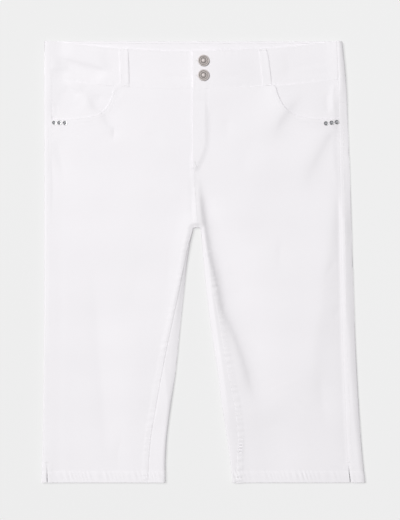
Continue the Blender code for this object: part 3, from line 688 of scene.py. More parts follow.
def shell(name, grid, thickness, surface, facing, round_rims="", rim_radius=9.0):
    """A closed sheet of cloth from a grid of points on its outside (rows, columns, xyz).

    facing is the sign of the grid's own normals that points out of the cloth. round_rims names the rims that
    are rounded over: f and l for the first and last rows, s and e for the start and end of each row.
    """
    cross = np.cross(np.gradient(grid, axis=0), np.gradient(grid, axis=1))
    outward = facing * cross / np.maximum(np.linalg.norm(cross, axis=2, keepdims=True), 1e-9)
    rows, columns = grid.shape[:2]
    thickness = np.broadcast_to(np.asarray(thickness, float), (rows, columns))
    down, across = run_lengths(grid, 0), run_lengths(grid, 1)
    reach = {"f": down, "l": down[-1:] - down, "s": across, "e": across[:, -1:] - across}
    rim = np.full((rows, columns), np.inf)
    for letter in round_rims:
        rim = np.minimum(rim, reach[letter])
    radius = np.minimum(0.94 * thickness / 2, rim_radius)
    shrink = radius - np.sqrt(np.maximum(radius**2 - (radius - np.minimum(rim, radius)) ** 2, 0.0))
    shrink = shrink[..., None]
    outside = grid - outward * shrink
    inside = grid - outward * (thickness[..., None] - shrink)
    flat = np.stack([across, down], axis=2).reshape(-1, 2)
    index = np.arange(rows * columns).reshape(rows, columns)
    a, b, c, d = index[:-1, :-1], index[1:, :-1], index[1:, 1:], index[:-1, 1:]
    top = np.stack([a, b, c, d], axis=-1).reshape(-1, 4)
    under = np.stack([a, d, c, b], axis=-1).reshape(-1, 4) + rows * columns
    loop = np.concatenate([index[0, :], index[1:, -1], index[-1, -2::-1], index[-2:0:-1, 0]])
    after = np.roll(loop, -1)
    side = np.stack([loop, after, after + rows * columns, loop + rows * columns], axis=-1)
    faces = np.concatenate([top, under, side])
    if facing < 0:
        faces = faces[:, ::-1]
    points = np.concatenate([outside.reshape(-1, 3), inside.reshape(-1, 3)])
    obj = new_object(name, points, faces.tolist(), surface, uvs=np.concatenate([flat, flat]))
    size = np.cross(np.diff(grid, axis=0)[:, :-1], np.diff(grid, axis=1)[:-1])
    return Piece(obj, float(np.linalg.norm(size, axis=2).sum()) * MM**2)


NEAR_RIM = [0.12, 0.4, 0.8, 1.4, 2.2]  # how far in from a rim its closer points are, mm


def rim_spaced(length, step, fine_end=True):
    """Places along a length, closer together at its ends so that the rims can be rounded."""
    start = [0.0, *NEAR_RIM]
    end = [length - v for v in start[::-1]] if fine_end else [length]
    count = max(2, int((end[0] - start[-1]) / step))
    return np.array([*start, *np.linspace(start[-1], end[0], count + 1)[1:-1], *end])


# ---- thread ----
class Thread:
    """Gathers stitches and makes them into one piece."""

    def __init__(self):
        self.points, self.faces = [], []

    def stitch(self, centre, along, up, length, radius):
        """One stitch: a short round thread that dips into the cloth at both ends."""
        across = np.cross(along, up)
        base = len(self.points)
        for share, drop, size in ((-0.5, 0.9, 0.5), (-0.3, 0.1, 1.0), (0.3, 0.1, 1.0), (0.5, 0.9, 0.5)):
            middle = centre + along * length * share - up * radius * drop
            for angle in (0.3, 1.1, 2.04, 2.84, 4.71):
                ring = across * np.cos(angle) + up * np.sin(angle)
                self.points.append(middle + ring * radius * size)
        for ring in range(3):
            for k in range(5):
                a, b = base + ring * 5 + k, base + ring * 5 + (k + 1) % 5
                self.faces.append((a, b, b + 5, a + 5))
        self.faces.append(tuple(base + k for k in (4, 3, 2, 1, 0)))
        self.faces.append(tuple(base + 15 + k for k in range(5)))

    def line(self, surface, path, facing=1.0, sink=0.0):
        """A row of stitches along a path of x and y, on a surface that gives z."""
        path = np.asarray(path, float)
        run = run_along(path)
        at = np.arange(STITCH_PITCH / 2, run[-1], STITCH_PITCH)
        x, y = along_path(path, run, at)
        ends = []
        for shift in (-0.4, 0.4):
            px, py = along_path(path, run, at + shift * STITCH_PITCH)
            ends.append(np.stack([px, py, surface(px, py)], axis=1))
        step = 0.5
        slope_x = (surface(x + step, y) - surface(x - step, y)) / (2 * step)
        slope_y = (surface(x, y + step) - surface(x, y - step)) / (2 * step)
        up = facing * np.stack([-slope_x, -slope_y, np.ones_like(x)], axis=1)
        up /= np.linalg.norm(up, axis=1, keepdims=True)
        along = ends[1] - ends[0]
        along /= np.linalg.norm(along, axis=1, keepdims=True)
        centre = (ends[0] + ends[1]) / 2 + up * (0.35 * THREAD - sink)
        for c, a, u in zip(centre, along, up):
            self.stitch(c, a, u, STITCH_LENGTH, THREAD)

    def bar_tack(self, surface, start, end, width, facing=1.0):
        """A dense zigzag bar between two points."""
        start, end = np.array(start, float), np.array(end, float)
        run = end - start
        length = np.hypot(*run)
        across = np.array([-run[1], run[0]]) / length
        count = int(length / 0.55)
        up = np.array([0.0, 0.0, facing])
        for k in range(count):
            at = start + run * (k + 0.5) / count
            slant = across + 0.25 * (-1) ** k * run / length
            ends = [at - slant * width / 2, at + slant * width / 2]
            a, b = (np.array([*p, float(surface(np.array(p[0]), np.array(p[1])))]) for p in ends)
            size = np.linalg.norm(b - a)
            self.stitch((a + b) / 2 + up * 0.15, (b - a) / size, up, size, 0.25)

    def make(self, name, surface):
        obj = new_object(name, np.array(self.points), self.faces, surface, sharp=1.2)
        return obj


# ---- the back: it wraps both folded edges, up to the seams that show on top ----
BACK_TOP, BACK_UNDER, BACK_INNER = 22, 34, 34  # columns
COLUMNS = BACK_TOP + BACK_UNDER + BACK_INNER
ANCHOR = 14.0  # the wraps start this far in from the folded edges, on the underside
YOKE_LEVEL = 200.0  # the back's columns are read here for the yoke seam


def wrap_section(half, y, seam_x, edge_x, top_width, count):
    """From the anchor on the underside, round a folded edge, and over the top to a seam.

    It gives the x of evenly spread points, and whether each is on the top layer.
    """
    reached = abs(seam_x - edge_x) > 1e-6
    inward = np.sign(seam_x - edge_x) if reached else -np.sign(CROTCH_X - half.outer(y))
    under = np.linspace(ANCHOR, ROLL, 6)[:-1]
    quarter = np.linspace(np.pi / 2, 0, 12)
    reach = max(abs(seam_x - edge_x), 1e-3)
    turn = np.linspace(0, np.arccos(1 - min(reach / top_width, 1.0)), 14)[1:]
    flat = np.linspace(top_width, reach, 12)[1:] if reach > top_width else np.array([])
    away = np.concatenate([under, ROLL * (1 - np.cos(quarter)), top_width * (1 - np.cos(turn)), flat])
    heights = [np.zeros(len(under)), ROLL * (1 - np.sin(quarter)), ROLL * (1 + np.sin(turn))]
    heights = np.concatenate([*heights, np.full(len(flat), 2 * ROLL)])
    layer = np.where(np.arange(len(away)) < len(under) + len(quarter), -1.0, 1.0)
    run = run_along(np.stack([away, heights], axis=1))
    at = np.linspace(0, run[-1], count)
    return edge_x + inward * np.interp(at, run, away), np.interp(at, run, layer) > 0


def back_row(half, y):
    """x and layer of each column of the back at one y, from the side seam to the inseam or centre back."""
    side_x, edge_x = float(half.seam(y)) + half.out * slit_gap(y), float(half.outer(y))
    side, side_top = wrap_section(half, y, side_x, edge_x, turn_at(half, "outer", y)[0], BACK_TOP)
    if y < CROTCH_Y:
        inner_x = float(half.inner(y))
        reach = max(half.out * (float(half.inseam(y)) - inner_x) - SEAM_GAP, 0.0)
        width = turn_at(half, "inner", y)[0]
        seam_x = inner_x + half.out * reach
        inner, inner_top = wrap_section(half, y, seam_x, inner_x, width, BACK_INNER)
        inner_top &= reach > 0.0
    else:
        end = float(half.centre(y)) + half.out * SEAM_GAP
        spread = ANCHOR + 6.0 + 46.0 * ease((y - CROTCH_Y) / 60.0)
        start = float(half.inner(CROTCH_FOOT)) + half.out * ANCHOR
        start = start + (end + half.out * spread - start) * ease((y - CROTCH_Y) / 50.0)
        inner, inner_top = np.linspace(start, end, BACK_INNER), np.zeros(BACK_INNER, bool)
    under = np.linspace(side[0], inner[0], BACK_UNDER + 2)[1:-1]
    xs = np.concatenate([side[::-1], under, inner])
    return xs, np.concatenate([side_top[::-1], np.zeros(BACK_UNDER, bool), inner_top])


def back_grid(half, rows):
    """A grid over the back. rows gives each row a y for every column."""
    x, top = np.empty((len(rows), COLUMNS)), np.empty((len(rows), COLUMNS), bool)
    for i, ys in enumerate(rows):
        if np.ptp(ys) < 1e-6:
            x[i], top[i] = back_row(half, ys[0])
            continue
        levels = np.linspace(ys.min(), ys.max(), 9)
        sections = [back_row(half, y) for y in levels]
        top[i] = sections[4][1]
        x[i] = [np.interp(y, levels, [xs[j] for xs, _ in sections]) for j, y in enumerate(ys)]
    y = np.array(rows)
    over = top_z(half, x, y) + seam_relief(half, x, y)
    return np.stack([x, y, np.where(top, over, under_z(half, x, y))], axis=2)


def leg_rows(upper):
    """Row heights from the hem up, closer together at the hem and round the crotch."""
    hem = HEM_Y + rim_spaced(HEM_HEIGHT + 4, 1.3, fine_end=False)
    below = np.arange(hem[-1] + STEP, CROTCH_Y - 9, STEP * 1.08)
    crotch = np.arange(CROTCH_Y - 8, CROTCH_Y + 6, 0.7)
    above = np.arange(CROTCH_Y + 7.5, upper, STEP * 1.08)
    return np.concatenate([hem, below, crotch, above])


def yoke_line(half):
    """The yoke seam's y at each column, read from the foot of the CAD yoke."""
    xs, _ = back_row(half, YOKE_LEVEL)
    side_y, centre_y = high(f"back_panel_{half.name}")[1], low(f"back_yoke_{half.name}")[1]
    edge = float(half.outer(YOKE_LEVEL))
    share = np.clip(np.abs(xs - edge) / abs(xs[-1] - edge), 0.0, 1.0)
    share[: BACK_TOP - 6] = 0.0
    return side_y + (centre_y - side_y) * share


def build_back(half, twill):
    seam = yoke_line(half)
    rows = [np.full(COLUMNS, y) for y in leg_rows(seam.min() - 14)]
    rows += [rows[-1] + (seam - SEAM_GAP - rows[-1]) * share for share in np.linspace(0.0, 1.0, 14)[1:]]
    grid = back_grid(half, rows)
    panel = shell(f"back_{half.name}", grid, panel_thickness(grid[..., 1]), twill, -half.out, "f")
    band = WAIST_Y - SEAM_GAP
    rows = [seam + SEAM_GAP + (band - seam - SEAM_GAP) * share for share in np.linspace(0.0, 1.0, 24)]
    return panel, shell(f"yoke_{half.name}", back_grid(half, rows), PLY, twill, -half.out)


# ---- the front ----
def front_edge(half):
    """The front's upper edge: the pocket mouth, and then the waist seam to the centre."""
    mouth = half.mouth[::5]
    end = FLY_EDGE if half is LEFT else float(half.centre(WAIST_Y - 20)) - 0.1
    xs = np.linspace(mouth[-1, 0], end, 58)[1:]
    return np.concatenate([mouth, line_at(xs, waist_seam(xs) + 0.8)])


def front_width(half, y):
    """The front's edges at one y."""
    end = half.middle(y) + half.out * SEAM_GAP
    if half is LEFT:
        end = end + (FLY_EDGE - end) * ease((y - FLY_FOOT + 6) / 14.0)
    return half.seam(y) - half.out * slit_gap(y), end


def build_front(half, twill):
    edge = front_edge(half)
    base_y = edge[:, 1].min() - 34
    start, end = front_width(half, base_y)
    own = np.clip((edge[:, 0] - start) / (end - start), 0.0, 1.0)
    near = np.array(NEAR_RIM) / abs(end - start)
    shares = np.unique(np.concatenate([own, near, 1 - near, [0.0, 1.0]])).clip(0, 1)
    own[0], own[-1] = 0.0, 1.0
    top_x, top_y = (np.interp(shares, np.maximum.accumulate(own), edge[:, k]) for k in (0, 1))
    straight = leg_rows(base_y)
    start, end = front_width(half, straight)
    x = start[:, None] + (end - start)[:, None] * shares
    y = np.repeat(straight[:, None], len(shares), axis=1)
    lift = np.concatenate([np.linspace(0, 1, 40)[1:-1], [0.98, 0.99, 0.996, 1.0]])[:, None]
    upper_y = y[-1] + (top_y - y[-1]) * lift
    upper_x = x[-1] + (top_x - x[-1]) * lift
    upper_x[:, 0] = front_width(half, upper_y[:, 0])[0]
    upper_x[:, -1] = front_width(half, upper_y[:, -1])[1]
    x, y = np.concatenate([x, upper_x]), np.concatenate([y, upper_y])
    grid = np.stack([x, y, front_z(half, x, y)], axis=2)
    if half is RIGHT:
        return shell("front_right", grid, panel_thickness(y), twill, half.out, "fl")
    radius = 0.03 + 9.0 * ease((y - FLY_FOOT + 8.0) / 10.0) + 9.0 * ease((HEM_Y + 3.0 - y) / 2.0)
    return shell("front_left", grid, panel_thickness(y), twill, half.out, "fle", rim_radius=radius)


def facing_z(half, x, y):
    """The facing is pressed under the front's edge at the side seam, and level with the hip past the mouth."""
    away, inside = mouth_away(half, x, y)
    return top_z(half, x, y) + seam_relief(half, x, y) - 0.1 - 1.1 * (1 - inside) * groove(away, 4.0)


def build_facing(half, twill):
    """The hip piece inside the pocket mouth. It runs on under the front's edge."""
    mouth = half.mouth[::4]
    share = np.linspace(0, 1, len(mouth))
    lower_x = mouth[:, 0] - half.out * FACING_TUCK * ease(share * 1.4 - 0.1)
    lower_y = mouth[:, 1] - FACING_TUCK * ease(1.5 - share * 1.5)
    lower_y = np.minimum(lower_y, waist_seam(lower_x) - 4.0)
    lower_x[0] = half.seam(lower_y[0]) - half.out * SEAM_GAP
    y = lower_y + (waist_seam(lower_x) - 0.1 - lower_y) * np.linspace(0, 1, 40)[:, None]
    beside_seam = ease(1 - np.abs(lower_x - lower_x[0]) / 40.0)
    x = lower_x + (half.seam(y[:, :1]) - half.out * SEAM_GAP - lower_x[0]) * beside_seam
    grid = np.stack([x, y, facing_z(half, x, y)], axis=2)
    return shell(f"facing_{half.name}", grid, PLY, twill, half.out)


def build_fly(twill):
    """The fly facing: its folded edge shows as a second layer under the edge of the left front."""
    ys = np.linspace(FLY_FOOT, waist_seam(FLY_EDGE) - 0.3, 60)
    shares = np.concatenate([[0, 0.01, 0.03, 0.06], np.linspace(0.1, 1.0, 14)])
    x = (FLY_EDGE + 0.5) + (fly_reach(ys) + 1.0)[:, None] * shares
    y = np.repeat(ys[:, None], len(shares), axis=1)
    grid = np.stack([x, y, front_z(LEFT, x, y) - PLY - 0.02], axis=2)
    return shell("fly", grid, 0.45, twill, -1.0, "s")


# ---- the waistband ----
def build_front_band(half, twill):
    node = f"waistband_front_{half.name}"
    end = low(node)[0] if half is LEFT else high(node)[0]
    seam_x = float(half.seam(BAND_LEVEL))
    xs = seam_x + np.sign(end - seam_x) * rim_spaced(abs(end - seam_x), 2.0)
    share = rim_spaced(BAND_DEPTH, 2.0)[:, None] / BAND_DEPTH
    foot = waist_seam(xs) - 0.4
    y = foot + (band_head(xs) - foot) * share
    beside_seam = ease(1 - np.abs(xs - seam_x) / 60.0)
    x = xs + (half.seam(y[:, :1]) - half.out * SEAM_GAP - seam_x) * beside_seam
    grid = np.stack([x, y, band_z(half, x, y)], axis=2)
    return shell(f"band_front_{half.name}", grid, BAND, twill, half.out, "fle", rim_radius=0.25)


def build_back_band(twill):
    """One strip that runs across the back and wraps both side edges, up to the side seams on top."""
    rows = []
    for y in WAIST_Y + SEAM_GAP + rim_spaced(TOP_Y - WAIST_Y - SEAM_GAP, 2.4):
        ends = []
        for half in HALVES:
            seam_x = float(half.seam(min(y, TOP_Y - 1.5))) + half.out * SEAM_GAP
            edge_x = float(half.outer(y)) + half.out * 0.3
            xs, top = wrap_section(half, y, seam_x, edge_x, turn_at(half, "outer", y)[0], BACK_TOP)
            flat = line_at(xs, y)
            below = under_band_z(*flat.T) + turned_under(half.out * (edge_x - xs))
            ends.append(np.column_stack([flat, np.where(top, band_z(half, *flat.T), below)]))
        right, left = ends
        flat = line_at(np.linspace(right[0, 0], left[0, 0], 120)[1:-1], y)
        rows.append(np.concatenate([right[::-1], np.column_stack([flat, under_band_z(*flat.T)]), left]))
    return shell("band_back", np.array(rows), BAND, twill, 1.0, "l")


# ---- belt loops, with folded edges and bar tacks ----
def loop_section(across, width):
    """Height over a loop's width: rounded folded edges and a slight channel between them."""
    edge = width / 2 - np.abs(across)
    return -np.where(across < 0, 0.12, 0.35) * np.exp(-edge / 0.7) - 0.12 * groove(across, 2.2)


def build_loop(name, node, surface, facing, twill, thread):
    points = solid(node)[0]
    foot_y, head_y = low(node)[1] - 1.6, high(node)[1] + 0.9
    head, foot = points[points[:, 1] > head_y - 6][:, 0], points[points[:, 1] < foot_y + 6][:, 0]
    width = head.max() - head.min() - (abs(head.mean() - foot.mean()) / 10)
    share = rim_spaced(head_y - foot_y, 1.6) / (head_y - foot_y)
    across = rim_spaced(width, 1.0) - width / 2
    ys = foot_y + (head_y - foot_y) * share
    lean = foot.mean() + (head.mean() - foot.mean()) * share

    def stand(y):
        """How far the loop stands off what it is sewn to: its ends are stitched down flat."""
        from_end = np.minimum(y - foot_y, head_y - y)
        return 0.3 + 0.45 * ease(from_end / 4.0) + 0.85 * ease(from_end / 18.0)

    def on(x, y):
        return surface(x, y) + facing * stand(y) * (0.7 + 0.3 * (x - np.interp(y, ys, lean)) / width)

    x = lean[:, None] + across + 0.15 * np.sin(ys / 9.0)[:, None]
    y = np.repeat(ys[:, None], len(across), axis=1)
    lean_up = 0.55 + 0.3 * (across / width + 0.5)
    base = surface(np.repeat(lean[:, None], len(across), axis=1), y)
    z = base + facing * (stand(ys)[:, None] * lean_up + loop_section(across, width))
    piece = shell(name, np.stack([x, y, z], axis=2), 1.2, twill, -facing, "flse", rim_radius=0.25)
    for beside in (2.2 - width / 2, width / 2 - 2.2):
        thread.line(on, line_at(lean + beside, ys), facing, sink=0.05)
    for tack_y in (foot_y + 2.4, head_y - 2.4):
        centre = np.interp(tack_y, ys, lean)
        ends = [(centre + side * (width / 2 - 1.0), tack_y) for side in (-1, 1)]
        thread.bar_tack(on, *ends, 1.8, facing)
    return piece


# ---- metal and stones ----
def ring_faces(start, sides):
    """The faces between a ring of points and the next one."""
    return [(start + k, start + (k + 1) % sides, start + sides + (k + 1) % sides, start + sides + k)
            for k in range(sides)]


def turned(name, profile, place, surface, sides=64):
    """A round piece about a vertical axis, from the axis at its foot to the axis at its top."""
    angles = np.arange(sides) * 2 * np.pi / sides
    turn = np.stack([np.cos(angles), np.sin(angles)], axis=1)
    rings = [np.column_stack([r * turn, np.full(sides, h)]) for r, h in profile[1:-1]]
    points = np.concatenate([[(0, 0, profile[0][1])], *rings, [(0, 0, profile[-1][1])]]) + np.array(place)
    faces = [(0, 1 + (k + 1) % sides, 1 + k) for k in range(sides)]
    for ring in range(len(rings) - 1):
        faces += ring_faces(1 + ring * sides, sides)
    last, a = len(points) - 1, 1 + (len(rings) - 1) * sides
    faces += [(a + k, a + (k + 1) % sides, last) for k in range(sides)]
    return new_object(name, points, faces, surface, 0.5)


def build_button(node, metal):
    """A cast shank button: a bead round the rim, stepped rings, and a domed middle."""
    centre, r = round_size(node)
    ground = float(band_z(LEFT, centre[0:1], centre[1:2])[0]) - 0.1
    # share of the radius, and height
    profile = [(0, 0), (0.42, 0), (0.42, 0.9), (0.86, 1.0), (0.96, 1.3), (1, 1.8), (0.985, 2.3), (0.93, 2.65),
               (0.86, 2.72), (0.8, 2.5), (0.76, 2.15), (0.7, 2.1), (0.66, 2.45), (0.61, 2.55), (0.56, 2.4),
               (0.52, 2.1), (0.44, 2.0), (0.38, 2.2), (0.34, 2.6), (0.27, 3.0), (0.15, 3.3), (0, 3.4)]
    obj = turned(f"{node}_cast", [(share * r, h) for share, h in profile], (*centre[:2], ground), metal)
    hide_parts(node)


def build_stone(half, node, crystal, cup_metal):
    """A faceted stone, held in a low cup."""
    centre, r = round_size(node)
    place = (*centre[:2], float(front_z(half, centre[0:1], centre[1:2])[0]) - 0.25)
    cup_profile = [(0, 0), (0.9, 0), (1, 0.3), (1, 1.2), (0.93, 1.5), (0.8, 1.45), (0.76, 1.0), (0, 0.9)]
    cup = turned(f"{node}_cup", [(share * r, h) for share, h in cup_profile], place, cup_metal, sides=40)
    sides, points, faces = 12, [], []
    for size, height, twist in ((0.78, 1.05, 0.0), (0.76, 1.45, 0.0), (0.62, 1.95, 0.5), (0.4, 2.3, 0.0)):
        for k in range(sides):
            angle = (k + twist) * 2 * np.pi / sides
            points.append((size * r * np.cos(angle), size * r * np.sin(angle), height))
    for ring in range(3):
        for a, b, c, d in ring_faces(ring * sides, sides):
            faces += [(a, b, d), (b, c, d)] if ring == 2 else [(a, b, c), (a, c, d)]
    faces.append(tuple(3 * sides + k for k in range(sides)))
    faces.append(tuple(range(sides - 1, -1, -1)))
    stone = new_object(f"{node}_cut", np.array(points) + np.array(place), faces, crystal, sharp=0.05)
    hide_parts(node)


# ---- materials ----
class Nodes:
    """A material's node tree, and short ways to add nodes. A _ in a socket's name is a space."""

    def __init__(self, name):
        self.material = bpy.data.materials.new(name)
        self.material.use_nodes = True
        self.tree = self.material.node_tree

    def fill(self, node, sockets):
        """Sets a node's sockets, or joins them to other nodes' outputs."""
        for key, value in sockets.items():
            socket = node.inputs[key if isinstance(key, int) else key.replace("_", " ")]
            if isinstance(value, bpy.types.NodeSocket):
                self.tree.links.new(value, socket)
            else:
                socket.default_value = value

    def add(self, kind, output, settings=None, numbered=None, **sockets):
        """A new node's output."""
        node = self.tree.nodes.new(f"ShaderNode{kind}")
        for key, value in (settings or {}).items():
            setattr(node, key, value)
        self.fill(node, {**(numbered or {}), **sockets})
        return node.outputs[output]

    def wave(self, vector, direction, **sockets):
        settings = {"wave_type": "BANDS", "bands_direction": direction, "wave_profile": "SIN"}
        return self.add("TexWave", "Fac", settings, Vector=vector, **sockets)

    def noise(self, vector, **sockets):
        return self.add("TexNoise", "Fac", Vector=vector, **sockets)

    def bump(self, height, strength, distance, **under):
        return self.add("Bump", "Normal", Height=height, Strength=strength, Distance=distance, **under)

    def spread(self, value, **ends):
        return self.add("MapRange", "Result", Value=value, **ends)

    def ramp(self, share, dark, light, start=0.0, end=1.0):
        colours = self.add("ValToRGB", "Color", Fac=share)
        stops = colours.node.color_ramp.elements
        stops[0].position, stops[1].position = start, end
        stops[0].color, stops[1].color = (*dark, 1), (*light, 1)
        return colours

    def finish(self, **sockets):
        """Fills the shader, and gives the material."""
        self.fill(self.tree.nodes["Principled BSDF"], sockets)
        return self.material


def cloth_material(name, colour, tint):
    """White cotton twill: fine diagonal ribs, slubs, faint shade differences, and a soft nap."""
    n = Nodes(name)
    flat, space = n.add("UVMap", "UV", {"uv_map": "cloth"}), n.add("TexCoord", "Object")
    slanted = n.add("Mapping", "Vector", Vector=flat, Rotation=(0, 0, 1.08))
    rib = n.wave(slanted, "X", Scale=430.0, Distortion=0.8, Detail=1.0, Detail_Scale=2.0)
    weft = n.wave(flat, "Y", Scale=520.0, Distortion=0.5, Detail=1.0, Detail_Scale=3.0)
    slub = n.noise(space, Scale=900.0, Detail=2.0, Roughness=0.6)
    cloud = n.noise(space, Scale=22.0, Detail=3.0, Roughness=0.55)
    shade = n.add("Mix", 2, {"data_type": "RGBA"}, {6: (*colour, 1), 7: (*tint, 1)}, Factor=cloud)
    ribbed = {6: shade, 7: rib.node.outputs["Color"]}
    darker = n.add("Mix", 2, {"data_type": "RGBA", "blend_type": "MULTIPLY"}, ribbed, Factor=0.05)
    cross = n.bump(weft, 0.12, 0.0001, Normal=n.bump(rib, 0.25, 0.00012))
    return n.finish(Base_Color=darker, Normal=n.bump(slub, 0.12, 0.00012, Normal=cross),
                    Roughness=n.spread(slub, To_Min=0.84, To_Max=0.94),
                    Sheen_Weight=0.08, Sheen_Roughness=0.5, Specular_IOR_Level=0.15)


def thread_material():
    """Twisted white thread, a little glossier than the cloth."""
    n = Nodes("topstitch_thread")
    twist = n.wave(n.add("TexCoord", "Object"), "DIAGONAL", Scale=1500.0, Distortion=1.0)
    tone = n.ramp(twist, (0.84, 0.825, 0.84), (0.90, 0.885, 0.90))
    return n.finish(Base_Color=tone, Normal=n.bump(twist, 0.3, 0.0001), Roughness=0.6)


def metal_material(name, dark, light, roughness):
    """Aged cast metal: brighter where it is rubbed, duller in its hollows, finely pitted."""
    n = Nodes(name)
    wear = n.noise(n.add("TexCoord", "Object"), Scale=700.0, Detail=4.0, Roughness=0.65)
    sharp = n.spread(n.add("NewGeometry", "Pointiness"), From_Min=0.46, From_Max=0.54)
    mixed = n.add("Math", "Value", {"operation": "MULTIPLY_ADD"}, {0: wear, 1: 0.45, 2: sharp})
    return n.finish(Base_Color=n.ramp(mixed, dark, light, 0.25, 1.1 / 1.5), Normal=n.bump(wear, 0.25, 0.0002),
                    Roughness=n.spread(wear, To_Min=roughness - 0.08, To_Max=roughness + 0.14), Metallic=0.8)


def painted_glint_crystal_material():
    """Cut glass with a glossy coat. Its base colour is painted glints and reflections: each facet is dark or
    light by which way it faces.
    """
    n = Nodes("cut_crystal_painted_glints")
    # Painted glints and reflections: each facet's colour is picked from the direction it faces.
    tone = n.noise(n.add("NewGeometry", "True Normal"), Scale=3.1, Detail=0.0)
    return n.finish(Base_Color=n.ramp(tone, (0.06, 0.06, 0.08), (0.85, 0.86, 0.9), 0.42, 0.6),
                    Metallic=0.55, Roughness=0.06, Coat_Weight=1.0, Coat_Roughness=0.02)


def floor_material():
    """A plain pale floor, a little paler on the side away from the lamp, so that it looks even."""
    n = Nodes("studio_floor")
    across = n.add("SeparateXYZ", "X", Vector=n.add("TexCoord", "Object"))
    side = n.spread(across, From_Min=-0.3, From_Max=0.3)
    tone = n.ramp(side, (FLOOR_TONE,) * 3, (FLOOR_TONE * 1.09,) * 3)
    return n.finish(Base_Color=tone, Roughness=1.0, Specular_IOR_Level=0.0,
                    Emission_Color=(1.0, 1.0, 1.0, 1.0), Emission_Strength=FLOOR_GLOW)


# ---- the studio ----
FLOOR_TONE, FLOOR_GLOW = 0.24, 0.596  # the floor is partly lit from below, like a light table
LENS, SENSOR = 100.0, 36.0
VIEW_HEIGHT = 780.0  # how much of the garment's length the camera takes in, mm
VIEW_CENTRE = (-5.2, 3.0)
KEY_FROM = (-0.38, 0.22, 0.9)  # the direction of the large soft lamp
KEY_DISTANCE, KEY_SIZE, KEY_STRENGTH, SKY_STRENGTH = 6.0, 2.6, 2.67, 0.32


def build_studio():
    scene = bpy.context.scene
    mesh = bpy.data.meshes.new("floor")
    corners = [(x * 4.0, y * 4.0, -0.0003) for x, y in ((-1, -1), (1, -1), (1, 1), (-1, 1))]
    mesh.from_pydata(corners, [], [(0, 1, 2, 3)])
    mesh.materials.append(floor_material())
    in_scene("floor", mesh)
    lamp = bpy.data.lights.new("key", "AREA")
    lamp.shape, lamp.size = "DISK", KEY_SIZE
    lamp.energy = KEY_STRENGTH * np.pi * KEY_DISTANCE**2
    key = in_scene("key", lamp)
    key.location = Vector(KEY_FROM).normalized() * KEY_DISTANCE
    key.rotation_euler = Vector(KEY_FROM).to_track_quat("Z", "Y").to_euler()
    world = bpy.data.worlds.new("studio")
    world.use_nodes = True
    sky = world.node_tree.nodes["Background"].inputs
    sky["Color"].default_value, sky["Strength"].default_value = (1.0, 1.0, 1.0, 1.0), SKY_STRENGTH
    scene.world = world
    scene.view_settings.view_transform = "Standard"
    data = bpy.data.cameras.new("camera")
    data.lens, data.sensor_width = LENS, SENSOR
    scene.camera = in_scene("camera", data)
    height = VIEW_HEIGHT * LENS / SENSOR + 8.0
    scene.camera.location = (VIEW_CENTRE[0] * MM, VIEW_CENTRE[1] * MM, height * MM)


# ---- the stitching ----
def front_threads():
    """Topstitching on the top layer: side seams, inseams, hems, centre, fly, pocket mouths and slits."""
    thread = Thread()
    slit_y = HEM_Y + SLIT_LENGTH
    for half in HALVES:
        on = partial(front_z, half)
        for away in TWIN:
            thread.line(on, line_beside(half.inseam, half.out * away, HEM_Y + 1, CROTCH_Y - 12), sink=0.1)
        side_row = line_beside(half.seam, half.out * SIDE_STITCH, slit_y + 6, SEAM_STITCH_TOP)
        thread.line(on, side_row, sink=0.05)
        seam_x = float(half.seam(HEM_Y + 14))
        start, end = (float(edge(HEM_Y + 14)) for edge in (half.inner, half.outer))
        xs = np.arange(start + half.out * 5, end - half.out * 5, half.out * 1.0)
        off_slit = np.abs(xs - seam_x) > 2.5
        for part in np.split(xs, np.flatnonzero(np.diff(off_slit.astype(int))) + 1):
            if len(part) > 4 and abs(part[0] - seam_x) > 2.4:
                thread.line(on, line_at(part, HEM_Y + HEM_STITCH), sink=0.1)
        for away in (-SLIT_STITCH, SLIT_STITCH):
            thread.line(on, line_beside(half.seam, half.out * away, HEM_Y + 1, slit_y), sink=0.05)
        slit_x = float(half.seam(slit_y))
        thread.bar_tack(on, (slit_x - 3.2, slit_y), (slit_x + 3.2, slit_y), 2.2)
        turn = np.gradient(half.mouth, axis=0)
        turn /= np.linalg.norm(turn, axis=1, keepdims=True)
        inward = np.stack([turn[:, 1], -turn[:, 0]], axis=1) * -half.out
        for away in MOUTH_TWIN:
            thread.line(on, (half.mouth + inward * away)[4:-4])
    centre = lambda x, y: np.where(x > RIGHT.centre(y), front_z(LEFT, x, y), front_z(RIGHT, x, y))
    for away in CENTRE_TWIN:
        thread.line(centre, line_beside(RIGHT.centre, away, CROTCH_Y + 4, FLY_FOOT - 2), sink=0.1)
    on = partial(front_z, LEFT)
    ys = np.linspace(waist_seam(0.0) - 1.0, FLY_FOOT + 1.0, 120)
    for back in (0.0, FLY_TWIN):
        thread.line(on, line_at(FLY_EDGE + np.maximum(fly_reach(ys) - back, 1.5), ys), sink=0.05)
    thread.bar_tack(on, (FLY_EDGE + 3.0, FLY_FOOT + 10.0), (FLY_EDGE + 6.0, FLY_FOOT), 2.2)
    return thread


def band_threads():
    """Topstitching on the front waistband, the buttonholes' bars, and a row inside the back waistband."""
    thread = Thread()
    edge = low("waistband_front_left")[0]
    for half in HALVES:
        xs = np.linspace(float(half.seam(BAND_LEVEL)) - half.out * 3, edge + (3 if half is LEFT else -2), 180)
        for ys in (waist_seam(xs) + BAND_STITCH, band_head(xs) - BAND_STITCH):
            thread.line(partial(band_z, half), line_at(xs, ys), sink=0.1)
    on = partial(band_z, LEFT)
    ys = np.linspace(waist_seam(edge + 3.0) + 3, band_head(edge + 3.0) - 3, 30)
    thread.line(on, line_at(np.full(30, edge + 3.0), ys), sink=0.05)
    for node in ("button_top", "button_bottom"):
        x, y, _ = round_size(node)[0]
        thread.bar_tack(on, (x - 12.5, y), (x - 6.0, y), 3.4)
    xs = np.linspace(low("waistband_back")[0] + 14, high("waistband_back")[0] - 14, 200)
    thread.line(lambda x, y: under_band_z(x, y) + BAND, line_at(xs, TOP_Y - BAND_STITCH))
    return thread


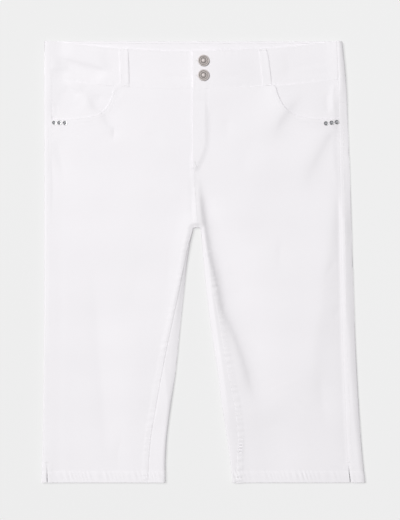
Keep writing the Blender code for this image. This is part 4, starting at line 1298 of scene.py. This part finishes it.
def under_threads():
    """Topstitching on the underside: yokes, centre back and hems."""
    thread = Thread()
    for half in HALVES:
        on = partial(under_z, half)
        xs, ys = back_row(half, YOKE_LEVEL)[0][BACK_TOP:], yoke_line(half)[BACK_TOP:]
        for away in YOKE_TWIN:
            thread.line(on, line_at(xs, ys + away), facing=-1.0, sink=0.35)
        start, end = float(half.inner(HEM_Y)), float(half.outer(HEM_Y))
        xs = np.linspace(start + half.out * 8, end - half.out * 8, 100)
        thread.line(on, line_at(xs, HEM_Y + HEM_STITCH), facing=-1.0, sink=0.4)
    for away in YOKE_TWIN:
        rail = line_beside(RIGHT.centre, away, CROTCH_Y + 8, SEAM_STITCH_TOP)
        thread.line(partial(under_z, LEFT), rail, facing=-1.0, sink=0.35)
    return thread


def declare(piece, node):
    """Hides the CAD node that a piece of cloth stands for."""
    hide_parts(node)


def main():
    twill = cloth_material("white_twill", (0.855, 0.836, 0.862), (0.866, 0.847, 0.872))
    thread = thread_material()
    cast = metal_material("aged_silver", (0.26, 0.24, 0.23), (0.62, 0.575, 0.56), 0.66)
    cup_metal = metal_material("cup_metal", (0.12, 0.12, 0.12), (0.5, 0.5, 0.5), 0.25)
    crystal = painted_glint_crystal_material()
    top_thread = front_threads().make("topstitching_front", thread)
    band_thread = band_threads().make("topstitching_band", thread)
    back_thread = under_threads().make("topstitching_back", thread)
    loops_thread = Thread()
    for half in HALVES:
        side = half.name
        panel, yoke = build_back(half, twill)
        declare(panel, f"back_panel_{side}")
        declare(yoke, f"back_yoke_{side}")
        declare(build_front(half, twill), f"front_panel_{side}")
        declare(build_facing(half, twill), f"pocket_facing_{side}")
        declare(build_front_band(half, twill), f"waistband_front_{side}")
        for number in (1, 2, 3):
            build_stone(half, f"stone_{side}_{number}", crystal, cup_metal)
    declare(build_fly(twill), "fly_facing")
    declare(build_back_band(twill), "waistband_back")
    for half in HALVES:
        node, on = f"belt_loop_front_{half.name}", partial(band_z, half)
        piece = build_loop(f"loop_front_{half.name}", node, on, 1.0, twill, loops_thread)
        declare(piece, node)
    for side in ("right", "left", "centre"):
        node, on = f"belt_loop_back_{side}", lambda x, y: under_band_z(x, y) + 0.9
        declare(build_loop(f"loop_back_{side}", node, on, -1.0, twill, loops_thread), node)
    loops_thread.make("topstitching_loops", thread)
    for node in ("button_top", "button_bottom"):
        build_button(node, cast)
    build_studio()


main()
